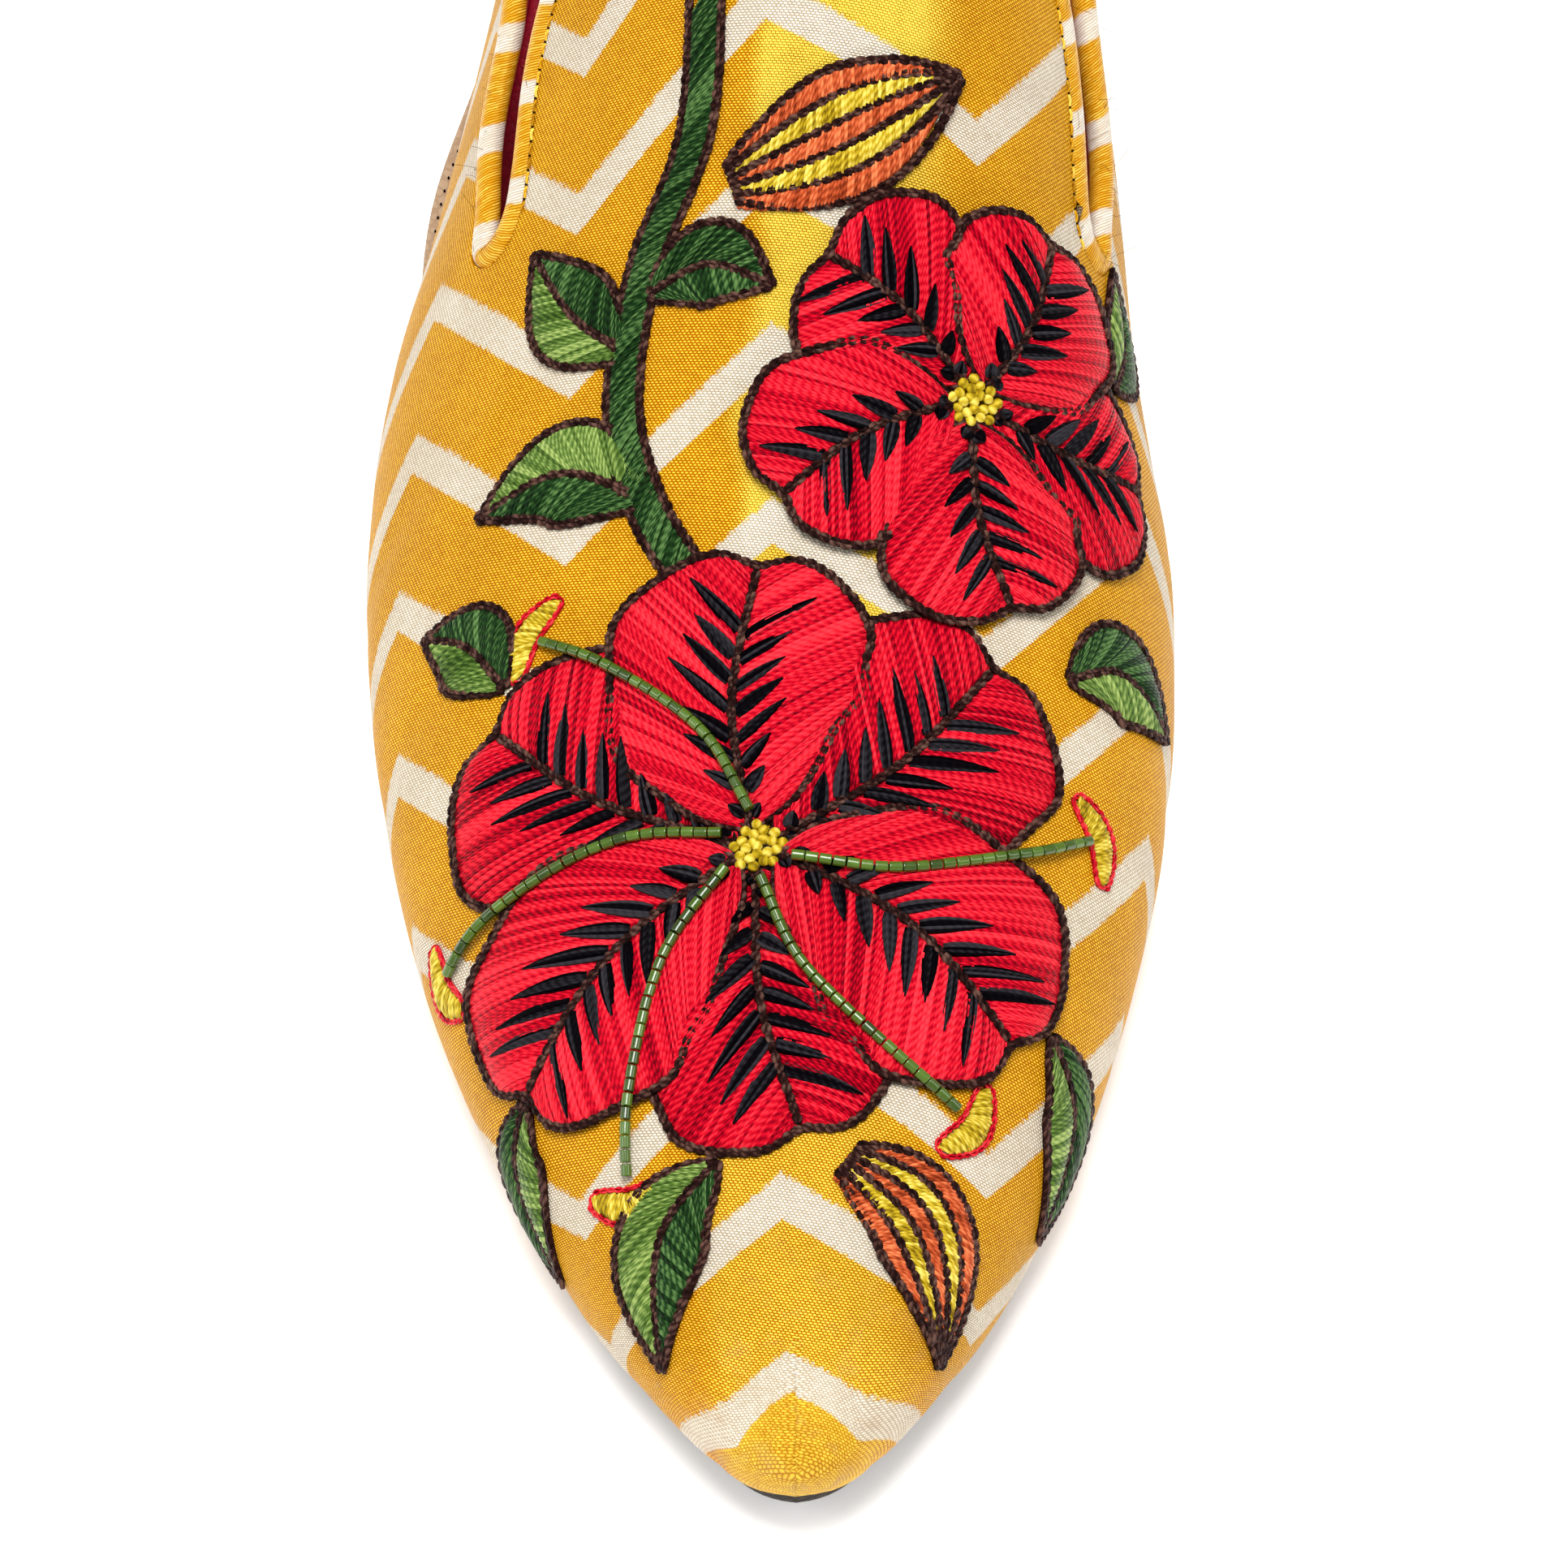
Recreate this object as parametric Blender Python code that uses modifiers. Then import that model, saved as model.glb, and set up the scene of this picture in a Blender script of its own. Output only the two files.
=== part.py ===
"""Cone heel mule, right shoe: a lasted satin upper, insole, leather outsole, cone heel and bound edge.

Metres, +Z up. The toe points along -Y and the inner (big toe) side is +X. The shoe stands on
Z = 0 on the ball of its outsole and on the rubber tip of its heel, and its box is centred on the
origin. The last is described by short tables in millimetres, measured back from the toe's tip.
"""

import functools
import math
from typing import NamedTuple

import bmesh
import bpy
from mathutils import Vector

MM = 0.001

# Driving sizes, in millimetres.
SHOE_LENGTH = 245.0
GAP = 0.3
FLUSH = 1.5
OUTSOLE_THICK = 3.2
INSOLE_THICK = 2.6
UPPER_WALL = 2.0
TOE_RADIUS = 9.6
TOE_ROUND_END = 4.0
FAN_START = 13.0
FAN_END = 45.0
SEAT_CENTRE = 219.0

# How the last's side leaves the feather edge and rounds into its widest line.
FEATHER_FLARE = 0.62
FEATHER_RISE = 0.25
BULGE_DRAW = 0.55

# The tongue, the two slits beside it and the wings.
SLIT_FOOT = 127.7
SLIT_WIDTH = 7.2
TONGUE_END = 159.0
TONGUE_CROWN = 0.24
TONGUE_CROWN_POWER = 2.4
TONGUE_DRAW = 0.2
TONGUE_DRAW_POWER = 5
WING_END = 174.6
WING_LEAST = 1.6
WING_BLEND = 1.0
QUARTER_BREADTH = 30.0

# How far the outsole is set back under the upper, and how it stands proud at the waist.
OUTSOLE_SET = 0.4
OUTSOLE_TOE_SET = 0.7
OUTSOLE_TOE_RUN = 40.0
WAIST_START = 112.0
WAIST_END = 165.0
WAIST_RUN = 30.0
WAIST_PROUD = {"lateral": 1.3, "medial": 0.9}
SEAT_PROUD = 0.4

# The outsole flares out further where the upper is drawn in over the waist.
FLARE_PROUD = {"lateral": 2.0, "medial": 0.6}
FLARE_MIDDLE = 148.0
FLARE_REACH = 17.0

# How far the insole lies inside the upper's wall, and near the sole's edge behind the wings.
INSOLE_SET = 0.7
INSOLE_SEAT_SET = 0.9
INSOLE_RUN = 9.0

# The rolled binding of the slits, tongue and wings.
BINDING_RADIUS = 1.45
BINDING_GAP = 0.35

# The cone heel and its tip.
HEEL_CENTRE = 220.8
HEEL_HALF_WIDTH = 24.6
HEEL_BACK_REACH = 23.4
HEEL_FRONT_REACH = 24.5
CONE_FOOT_CENTRE = 219.0
CONE_FOOT_RADIUS = 12.0
CONE_WAIST = 0.16
TIP_THICK = 6.0
TIP_FLARE = 0.6

SIDES = {"lateral": -1.0, "medial": 1.0}

# The middle of the shoe's box, from the toe's tip.
BOX_MIDDLE_X = -2.4
BOX_MIDDLE_BACK = 122.4


class Outline(NamedTuple):
    """One station of the shoe's plan and underside."""

    back: float
    lateral: float
    medial: float
    tuck_lateral: float
    tuck_medial: float
    sole: float


class Form(NamedTuple):
    """One station of the last above its widest line."""

    back: float
    bulge: float
    ridge: float
    ridge_x: float
    side_lateral: float
    top_lateral: float
    side_medial: float
    top_medial: float


OUTLINES = (
    Outline(0.0, 0.0, 0.0, 1.0, 1.0, 6.0),
    Outline(4.0, 7.9, 7.9, 1.1, 1.1, 5.2),
    Outline(9.5, 12.9, 12.7, 1.3, 1.3, 4.3),
    Outline(19.0, 20.0, 19.4, 1.7, 1.6, 3.0),
    Outline(28.0, 25.1, 24.2, 2.2, 2.0, 2.1),
    Outline(43.0, 32.4, 30.4, 3.0, 2.7, 1.1),
    Outline(59.0, 38.2, 35.1, 4.0, 3.4, 0.4),
    Outline(75.0, 41.9, 38.4, 4.9, 4.0, 0.0),
    Outline(90.0, 44.0, 39.8, 5.4, 4.5, 0.0),
    Outline(104.0, 44.8, 40.0, 5.4, 4.9, 0.0),
    Outline(116.0, 44.2, 38.2, 4.5, 5.2, 0.9),
    Outline(127.0, 42.3, 36.3, 2.9, 6.0, 4.0),
    Outline(139.0, 38.2, 35.0, 0.2, 7.2, 10.0),
    Outline(152.0, 33.9, 33.0, -1.2, 7.7, 19.2),
    Outline(165.0, 30.2, 30.0, -0.9, 6.0, 30.2),
    Outline(180.0, 27.2, 27.4, 0.0, 2.8, 43.4),
    Outline(195.0, 26.1, 26.6, 0.2, 1.0, 55.2),
    Outline(210.0, 26.4, 26.8, 0.2, 0.4, 64.4),
    Outline(226.0, 26.3, 26.7, 0.2, 0.2, 71.4),
    Outline(245.0, 26.3, 26.7, 0.2, 0.2, 76.6),
)

FORMS = (
    Form(0.0, 3.6, 14.0, 0.0, 0.60, 0.50, 0.60, 0.50),
    Form(13.0, 4.2, 22.8, 0.0, 0.58, 0.50, 0.58, 0.50),
    Form(28.0, 5.4, 27.2, 0.2, 0.56, 0.50, 0.58, 0.52),
    Form(43.0, 6.6, 30.4, 0.6, 0.54, 0.50, 0.58, 0.54),
    Form(59.0, 8.0, 33.0, 1.2, 0.52, 0.50, 0.58, 0.55),
    Form(75.0, 9.4, 35.8, 1.8, 0.50, 0.50, 0.58, 0.56),
    Form(90.0, 10.6, 39.6, 2.5, 0.47, 0.50, 0.58, 0.57),
    Form(104.0, 11.6, 45.4, 3.2, 0.45, 0.50, 0.57, 0.58),
    Form(116.0, 12.4, 52.6, 3.9, 0.42, 0.51, 0.58, 0.59),
    Form(127.0, 13.0, 61.4, 4.5, 0.40, 0.52, 0.60, 0.60),
    Form(139.0, 13.0, 73.0, 4.8, 0.39, 0.53, 0.62, 0.60),
    Form(152.0, 12.0, 86.6, 4.4, 0.39, 0.54, 0.62, 0.60),
    Form(165.0, 9.0, 99.2, 3.4, 0.39, 0.54, 0.62, 0.60),
    Form(180.0, 6.0, 112.0, 2.4, 0.39, 0.54, 0.62, 0.60),
)


class TopLine(NamedTuple):
    """One station of the top line.

    The wings' edges are given by height. Half the tongue's breadth and the breadth of the slit
    beside it are measured along the skin.
    """

    back: float
    wing_lateral: float
    wing_medial: float
    tongue_lateral: float
    tongue_medial: float
    slit_lateral: float
    slit_medial: float


TOP_LINES = (
    TopLine(0.0, 42.4, 41.0, 37.4, 30.0, 7.2, 7.4),
    TopLine(129.0, 42.4, 41.0, 37.2, 30.2, 7.2, 7.6),
    TopLine(133.5, 44.0, 42.4, 37.3, 30.3, 8.2, 8.0),
    TopLine(138.0, 45.2, 43.2, 37.8, 30.4, 9.9, 8.2),
    TopLine(142.0, 46.7, 44.9, 38.1, 30.3, 11.2, 8.2),
    TopLine(145.5, 48.7, 47.8, 38.1, 30.1, 11.7, 8.2),
    TopLine(148.5, 51.1, 50.7, 38.0, 29.9, 11.7, 8.2),
    TopLine(151.5, 53.2, 52.7, 37.6, 29.6, 11.7, 8.2),
    TopLine(154.5, 53.8, 53.4, 37.0, 29.1, 11.7, 8.2),
    TopLine(158.0, 52.1, 51.7, 36.0, 28.3, 11.7, 8.2),
    TopLine(162.0, 48.5, 48.2, 34.5, 27.2, 11.7, 8.2),
    TopLine(166.0, 44.8, 44.8, 32.8, 26.0, 11.7, 8.2),
    TopLine(170.0, 42.2, 42.2, 31.1, 24.8, 11.7, 8.2),
    TopLine(WING_END, 41.0, 41.0, 29.2, 23.4, 11.7, 8.2),
)


class Track:
    """A smooth curve through one named column of a table of stations."""

    def __init__(self, rows, column):
        self.at = [row.back for row in rows]
        self.values = [getattr(row, column) for row in rows]
        spans = list(zip(self.at, self.at[1:], self.values, self.values[1:]))
        chords = [(high - low) / (end - start) for start, end, low, high in spans]
        self.slopes = [chords[0]]
        for before, after in zip(chords, chords[1:]):
            level = before * after <= 0.0
            self.slopes.append(0.0 if level else 2.0 * before * after / (before + after))
        self.slopes.append(chords[-1])

    def span(self, back):
        """Index of the interval that holds a station."""
        index = 0
        while index < len(self.at) - 2 and back > self.at[index + 1]:
            index += 1
        return index

    def __call__(self, back):
        """Value at a distance back from the toe's tip."""
        i = self.span(back)
        width = self.at[i + 1] - self.at[i]
        t = min(max((back - self.at[i]) / width, 0.0), 1.0)
        low, high = self.values[i], self.values[i + 1]
        rise_in, rise_out = self.slopes[i] * width, self.slopes[i + 1] * width
        s = 1.0 - t
        return (
            low * s * s * (1.0 + 2.0 * t) + high * t * t * (3.0 - 2.0 * t)
            + rise_in * t * s * s - rise_out * t * t * s
        )

    def slope(self, back):
        """Rise per millimetre at a station."""
        step = 0.5
        return (self(back + step) - self(back - step)) / (2.0 * step)


HALF = {"lateral": Track(OUTLINES, "lateral"), "medial": Track(OUTLINES, "medial")}
TUCK = {"lateral": Track(OUTLINES, "tuck_lateral"), "medial": Track(OUTLINES, "tuck_medial")}
SOLE = Track(OUTLINES, "sole")
BULGE = Track(FORMS, "bulge")
RIDGE = Track(FORMS, "ridge")
RIDGE_X = Track(FORMS, "ridge_x")
FULL_SIDE = {"lateral": Track(FORMS, "side_lateral"), "medial": Track(FORMS, "side_medial")}
FULL_TOP = {"lateral": Track(FORMS, "top_lateral"), "medial": Track(FORMS, "top_medial")}
WING_TOP = {
    "lateral": Track(TOP_LINES, "wing_lateral"),
    "medial": Track(TOP_LINES, "wing_medial"),
}
TONGUE_HALF = {
    "lateral": Track(TOP_LINES, "tongue_lateral"),
    "medial": Track(TOP_LINES, "tongue_medial"),
}
SLIT = {"lateral": Track(TOP_LINES, "slit_lateral"), "medial": Track(TOP_LINES, "slit_medial")}


def half_width(side, back):
    """Half-width of the plan at its widest line, rounded at the toe's tip and round the seat."""
    if back < TOE_ROUND_END:
        round_toe = math.sqrt(max(2.0 * TOE_RADIUS * back - back * back, 0.0))
        scale = HALF[side](TOE_ROUND_END) / math.sqrt(
            2.0 * TOE_RADIUS * TOE_ROUND_END - TOE_ROUND_END * TOE_ROUND_END
        )
        return round_toe * scale
    wide = HALF[side](back)
    if back > SEAT_CENTRE:
        reach = (back - SEAT_CENTRE) / (SHOE_LENGTH - SEAT_CENTRE)
        wide *= math.sqrt(max(1.0 - reach * reach, 0.0))
    return wide


def plan_point(side, back):
    """Point of the plan's widest line."""
    return Vector((SIDES[side] * half_width(side, back), back, 0.0))


def plan_normal(side, back):
    """Outward direction of the plan's outline."""
    step = 0.02
    low, high = max(back - step, 0.0), min(back + step, SHOE_LENGTH)
    along = plan_point(side, high) - plan_point(side, low)
    return Vector((along.y, -along.x, 0.0)).normalized() * SIDES[side]


def feather_point(side, back, inset=0.0):
    """Point of the feather edge in plan, moved in by an inset."""
    return plan_point(side, back) - plan_normal(side, back) * (TUCK[side](back) + inset)


def feather_top(back):
    """Height at which the upper starts: a small gap square to the outsole's sloping top."""
    return SOLE(back) + OUTSOLE_THICK + GAP * math.hypot(1.0, FLUSH * SOLE.slope(back))


def ridge_back(back):
    """Where on the ridge a rib ends: ribs fan out round the toe and lie square behind it."""
    if back >= FAN_END:
        return back
    return back + FAN_START * (1.0 - back / FAN_END) ** 2


def bezier(points, t):
    """Point on a cubic curve."""
    s = 1.0 - t
    weights = (s * s * s, 3.0 * s * s * t, 3.0 * s * t * t, t * t * t)
    return sum((p * w for p, w in zip(points, weights)), Vector((0.0, 0.0, 0.0)))


def rib(side, back, high_steps=14, low_steps=5):
    """Outer line of the last from the feather edge, over the widest line, to the ridge."""
    sign = SIDES[side]
    base = Vector((sign * half_width(side, back), back, 0.0))
    crest = ridge_back(back)
    goal = Vector((RIDGE_X(crest), crest, 0.0))
    across = goal - base
    reach = across.length
    across.normalize()
    up = Vector((0.0, 0.0, 1.0))
    foot = feather_top(back)
    bulge = foot + BULGE(back)
    tuck = TUCK[side](back)
    start = feather_point(side, back) + up * foot
    outward = plan_normal(side, back)
    middle = base + up * bulge
    rise = RIDGE(crest) - bulge
    low_curve = (
        start,
        start + outward * (FEATHER_FLARE * max(tuck, 0.0)) + up * (FEATHER_RISE * (bulge - foot)),
        middle - up * (BULGE_DRAW * (bulge - foot)),
        middle,
    )
    full_side = FULL_SIDE[side](back)
    full_top = FULL_TOP[side](back) * reach
    end = goal + up * RIDGE(crest)
    high_curve = (
        middle,
        middle + up * (full_side * rise),
        end - across * full_top - up * (RIDGE.slope(crest) * across.y * full_top),
        end,
    )
    low = [bezier(low_curve, i / low_steps) for i in range(low_steps)]
    return low + [bezier(high_curve, i / high_steps) for i in range(high_steps + 1)]


class Section:
    """The whole outer line of the last at one station, measured along the skin from the ridge."""

    def __init__(self, back):
        self.lines = {}
        for side in SIDES:
            points = rib(side, back)[::-1]
            lengths = [0.0]
            for a, b in zip(points, points[1:]):
                lengths.append(lengths[-1] + (b - a).length)
            self.lines[side] = (points, lengths)

    def edge(self, side):
        """Skin length from the ridge to the feather edge."""
        return self.lines[side][1][-1]

    def point(self, side, skin):
        """Point at a skin length from the ridge."""
        points, lengths = self.lines[side]
        skin = min(max(skin, 0.0), lengths[-1])
        i = 0
        while i < len(lengths) - 2 and skin > lengths[i + 1]:
            i += 1
        t = (skin - lengths[i]) / max(lengths[i + 1] - lengths[i], 1e-9)
        return points[i].lerp(points[i + 1], t)

    def skin_at_height(self, side, height):
        """Skin length from the ridge at which the line comes down to a height."""
        points, lengths = self.lines[side]
        for i in range(len(points) - 1):
            if points[i + 1].z <= height:
                drop = max(points[i].z - points[i + 1].z, 1e-9)
                t = min(max((points[i].z - height) / drop, 0.0), 1.0)
                return lengths[i] + t * (lengths[i + 1] - lengths[i])
        return lengths[-1]


@functools.cache
def section_at(back):
    """The section at a station, worked out once."""
    return Section(back)


def wing_edge(side, back):
    """Skin length from the ridge to a wing's edge: beside the slit, then down to the sole."""
    section = section_at(back)
    slit = TONGUE_HALF[side](back) + SLIT[side](back)
    fall = section.skin_at_height(side, WING_TOP[side](back))
    soft = 0.5 * (slit + fall + math.hypot(slit - fall, WING_BLEND))
    return min(soft, section.edge(side) - WING_LEAST)


def to_world(point):
    """Last millimetres, measured back from the toe's tip, to metres."""
    return Vector((point.x - BOX_MIDDLE_X, point.y - BOX_MIDDLE_BACK, point.z)) * MM


def spaced(start, end, count):
    """Evenly spaced values, both ends included."""
    return [start + (end - start) * i / count for i in range(count + 1)]


def toe_rows(count=4):
    """Stations round the toe's tip, closer together where the plan turns faster."""
    turn = math.acos(1.0 - TOE_ROUND_END / TOE_RADIUS)
    return [TOE_RADIUS * (1.0 - math.cos(angle)) for angle in spaced(0.0, turn, count)]


VAMP_ROWS = toe_rows() + [7.5, 12.0, 17.0, 23.0, 30.0, 38.0, 46.0, 54.0, 62.0, 70.0, 78.0, 86.0,
                          93.0, 100.0, 106.0, 112.0, 117.0, 121.5]
WING_COLUMNS = 8
SLIT_ARC = 6
TONGUE_COLUMNS = 6
TONGUE_ROWS = 9
WING_ROWS = 14


def slit_arc(step):
    """Share across the slit and share of its radius down, round the slit's half circle."""
    angle = math.pi * step / SLIT_ARC
    return 0.5 - 0.5 * math.cos(angle), math.sin(angle)


def upper_row(back, slit_foot=False):
    """One full row of the vamp; at the slits' foot the row dips round each half circle."""
    points = {}
    for side in SIDES:
        edge = section_at(back).edge(side)
        tongue = TONGUE_HALF[side](back)
        share = min(1.0, edge / (tongue + SLIT_WIDTH + QUARTER_BREADTH))
        slit = wing_edge(side, back) - tongue if slit_foot else SLIT_WIDTH * share
        tongue *= share
        line = [(skin, 0.0) for skin in spaced(edge, tongue + slit, WING_COLUMNS)]
        for step in range(1, SLIT_ARC):
            across, down = slit_arc(step)
            line.append((tongue + slit * (1.0 - across), down * 0.5 * slit * slit_foot))
        line += [(skin, 0.0) for skin in spaced(tongue, 0.0, TONGUE_COLUMNS)]
        points[side] = []
        for skin, dip in line:
            section = section_at(back - dip)
            points[side].append(section.point(side, skin * section.edge(side) / edge))
    return points["lateral"] + points["medial"][::-1][1:]


def add_grid(mesh, rows):
    """Faces between rows of vertices; each row is a list of vertices of the same length."""
    for low, high in zip(rows, rows[1:]):
        for j in range(len(low) - 1):
            corners = []
            for vert in (low[j], low[j + 1], high[j + 1], high[j]):
                if vert not in corners:
                    corners.append(vert)
            if len(corners) > 2:
                mesh.faces.new(corners)


def face_outward(mesh):
    """Turn a closed mesh's faces outward."""
    bmesh.ops.recalc_face_normals(mesh, faces=mesh.faces)
    if mesh.calc_volume(signed=True) < 0.0:
        bmesh.ops.reverse_faces(mesh, faces=mesh.faces)
    return mesh


def upper_skin():
    """Open outer skin of the upper, and the rim that its binding follows.

    The skin is a vamp, a tongue between its two slits, and two wings.
    """
    mesh = bmesh.new()
    rows = []
    foot_row = SLIT_FOOT + 0.5 * SLIT_WIDTH
    for back in VAMP_ROWS:
        rows.append([mesh.verts.new(to_world(p)) for p in upper_row(back)])
    rows.append([mesh.verts.new(to_world(p)) for p in upper_row(foot_row, slit_foot=True)])
    half = WING_COLUMNS + SLIT_ARC + TONGUE_COLUMNS
    first = rows[0]
    for j in range(half):
        mesh.verts.remove(first[2 * half - j])
        first[2 * half - j] = first[j]
    add_grid(mesh, rows)
    last = rows[-1]

    tongue_rows = [last[WING_COLUMNS + SLIT_ARC: 2 * half - WING_COLUMNS - SLIT_ARC + 1]]
    for back in spaced(foot_row, TONGUE_END, TONGUE_ROWS)[1:]:
        row = []
        for side, columns in (
            ("lateral", range(TONGUE_COLUMNS + 1)),
            ("medial", range(TONGUE_COLUMNS - 1, -1, -1)),
        ):
            for column in columns:
                share = 1.0 - column / TONGUE_COLUMNS
                crown = 1.0 - TONGUE_CROWN * share ** TONGUE_CROWN_POWER
                here = foot_row + (back - foot_row) * crown
                level = (back - foot_row) / (TONGUE_END - foot_row)
                draw = 1.0 - TONGUE_DRAW * level ** TONGUE_DRAW_POWER
                skin = TONGUE_HALF[side](here) * share * draw
                row.append(mesh.verts.new(to_world(section_at(here).point(side, skin))))
        tongue_rows.append(row)
    add_grid(mesh, tongue_rows)

    wing_rims = {}
    for side in SIDES:
        seam = last[:WING_COLUMNS + 1] if side == "lateral" else last[-WING_COLUMNS - 1:]
        wing_rows = [seam]
        for back in spaced(foot_row, WING_END, WING_ROWS)[1:]:
            section = section_at(back)
            skins = spaced(section.edge(side), wing_edge(side, back), WING_COLUMNS)
            row = [mesh.verts.new(to_world(section.point(side, skin))) for skin in skins]
            wing_rows.append(row if side == "lateral" else row[::-1])
        add_grid(mesh, wing_rows)
        wing_rims[side] = [row[-1] if side == "lateral" else row[0] for row in wing_rows]
    bmesh.ops.recalc_face_normals(mesh, faces=mesh.faces)
    if sum(face.normal.z for face in mesh.faces) < 0.0:
        bmesh.ops.reverse_faces(mesh, faces=mesh.faces)
    mesh.normal_update()
    tongue_edge = WING_COLUMNS + SLIT_ARC
    rim = wing_rims["lateral"][::-1] + last[WING_COLUMNS + 1:tongue_edge]
    rim += [row[0] for row in tongue_rows] + tongue_rows[-1][1:-1]
    rim += [row[-1] for row in tongue_rows[::-1]]
    rim += last[2 * half - tongue_edge + 1:2 * half - WING_COLUMNS] + wing_rims["medial"]
    return mesh, binding_path(rim)


def binding_path(rim):
    """Middle line of the rolled binding: beside the cut edge, half the wall in, clear of it."""
    path = []
    for i, vert in enumerate(rim):
        before = rim[max(i - 1, 0)].co
        after = rim[min(i + 1, len(rim) - 1)].co
        ahead, behind = after - vert.co, vert.co - before
        bend = ahead.angle(behind) if ahead.length * behind.length > 0.0 else 0.0
        outward = (after - before).cross(vert.normal).normalized()
        reach = (BINDING_RADIUS + BINDING_GAP) / math.cos(0.5 * bend)
        path.append(vert.co - vert.normal * (0.5 * UPPER_WALL * MM) - outward * (reach * MM))
    return path


def build_plate(rows, inset, bottom, top, columns=6):
    """A thin plate that follows the last's underside, from toe to heel."""
    mesh = bmesh.new()
    under, over = [], []
    for back in rows:
        left = feather_point("lateral", back, inset("lateral", back))
        right = feather_point("medial", back, inset("medial", back))
        low, high = [], []
        for share in spaced(0.0, 1.0, columns):
            spot = left.lerp(right, share)
            low.append(mesh.verts.new(to_world(spot + Vector((0.0, 0.0, bottom(spot.y))))))
            high.append(mesh.verts.new(to_world(spot + Vector((0.0, 0.0, top(spot.y))))))
        under.append(low)
        over.append(high)
    add_grid(mesh, under)
    add_grid(mesh, over)
    add_grid(mesh, [[row[0] for row in under], [row[0] for row in over]])
    add_grid(mesh, [[row[-1] for row in under], [row[-1] for row in over]])
    add_grid(mesh, [under[0], over[0]])
    add_grid(mesh, [under[-1], over[-1]])
    bmesh.ops.remove_doubles(mesh, verts=mesh.verts, dist=1e-6)
    bmesh.ops.dissolve_degenerate(mesh, edges=mesh.edges, dist=1e-7)
    return face_outward(mesh)


def sole_rows(seat_count=8):
    """Stations of the sole plates, closer together round the toe and the seat."""
    middle = [7.5, 12.0, 18.0, 25.0, 33.0, 42.0, 52.0, 63.0, 75.0, 83.0, 91.0, 99.0, 104.0, 108.0,
              112.0, 116.0, 120.0, 124.5, 129.0, 134.0, 139.0, 145.0, 151.0, 157.0, 164.0, 171.0,
              178.0, 185.0, 192.0, 199.0, 206.0, 213.0, SEAT_CENTRE]
    turns = spaced(0.0, 0.5 * math.pi, seat_count)[1:]
    round_seat = [SEAT_CENTRE + (SHOE_LENGTH - SEAT_CENTRE) * math.sin(turn) for turn in turns]
    return toe_rows() + middle + round_seat


def outsole_inset(side, back):
    """The outsole sits under the upper at the toe and stands a little proud at the waist."""
    waist = min(max((back - WAIST_START) / WAIST_RUN, 0.0), 1.0)
    seat = min(max((back - WAIST_END) / WAIST_RUN, 0.0), 1.0)
    toe = max(1.0 - back / OUTSOLE_TOE_RUN, 0.0)
    proud = WAIST_PROUD[side] + (SEAT_PROUD - WAIST_PROUD[side]) * seat
    flare = max(1.0 - ((back - FLARE_MIDDLE) / FLARE_REACH) ** 2, 0.0) ** 2
    return OUTSOLE_SET + OUTSOLE_TOE_SET * toe - proud * waist - FLARE_PROUD[side] * flare


def insole_inset(side, back):
    """The insole lies inside the upper's wall and fills the footbed behind the wings."""
    free = min(max((back - WING_END) / INSOLE_RUN - GAP, 0.0), 1.0)
    free = free * free * (3.0 - 2.0 * free)
    return (UPPER_WALL + INSOLE_SET) * (1.0 - free) + INSOLE_SEAT_SET * free


def outsole_top(back):
    """Height of the outsole's upper face."""
    return SOLE(back) + OUTSOLE_THICK


def insole_bottom(back):
    """Height of the insole's lower face."""
    return outsole_top(back) + GAP


def insole_top(back):
    """Height of the footbed."""
    return insole_bottom(back) + INSOLE_THICK


def heel_outline(angle):
    """Plan of the cone heel where it meets the sole; angle 0 is the inner side."""
    lengthwise = math.sin(angle)
    reach = HEEL_BACK_REACH if lengthwise > 0.0 else HEEL_FRONT_REACH
    return Vector((HEEL_HALF_WIDTH * math.cos(angle), HEEL_CENTRE + reach * lengthwise, 0.0))


def build_heel(around=36, levels=10):
    """Cone heel: its top follows the sole's underside and it narrows to a small round foot."""
    mesh = bmesh.new()
    foot_height = TIP_THICK + GAP
    rings = []
    for level in range(levels + 1):
        down = level / levels
        ring = []
        for i in range(around):
            angle = 2.0 * math.pi * i / around
            top = heel_outline(angle)
            seat = SOLE(top.y) - GAP
            foot = Vector((CONE_FOOT_RADIUS * math.cos(angle),
                           CONE_FOOT_CENTRE + CONE_FOOT_RADIUS * math.sin(angle), 0.0))
            drawn = down + CONE_WAIST * math.sin(math.pi * down)
            spot = top.lerp(foot, min(drawn, 1.0))
            spot.z = seat + (foot_height - seat) * down
            ring.append(mesh.verts.new(to_world(spot)))
        rings.append(ring + ring[:1])
    add_grid(mesh, rings)
    quarter = around // 4
    pairs = [(rings[0][(quarter - k) % around], rings[0][(quarter + k) % around])
             for k in range(2 * quarter + 1)]
    add_grid(mesh, pairs)
    mesh.faces.new(rings[-1][:-1])
    return face_outward(mesh)


PAINTS = {
    "satin": ((0.80, 0.44, 0.04, 1.0), 0.42),
    "binding_satin": ((0.84, 0.50, 0.07, 1.0), 0.35),
    "insole_leather": ((0.30, 0.01, 0.03, 1.0), 0.55),
    "sole_leather": ((0.50, 0.38, 0.27, 1.0), 0.50),
    "heel_satin": ((0.78, 0.42, 0.04, 1.0), 0.42),
    "heel_rubber": ((0.05, 0.04, 0.04, 1.0), 0.75),
}


def paint(name):
    """A plain material with the piece's colour and roughness."""
    colour, roughness = PAINTS[name]
    material = bpy.data.materials.new(name)
    material.use_nodes = True
    shader = material.node_tree.nodes["Principled BSDF"]
    shader.inputs["Base Color"].default_value = colour
    shader.inputs["Roughness"].default_value = roughness
    shader.inputs["Metallic"].default_value = 0.0
    return material


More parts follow.
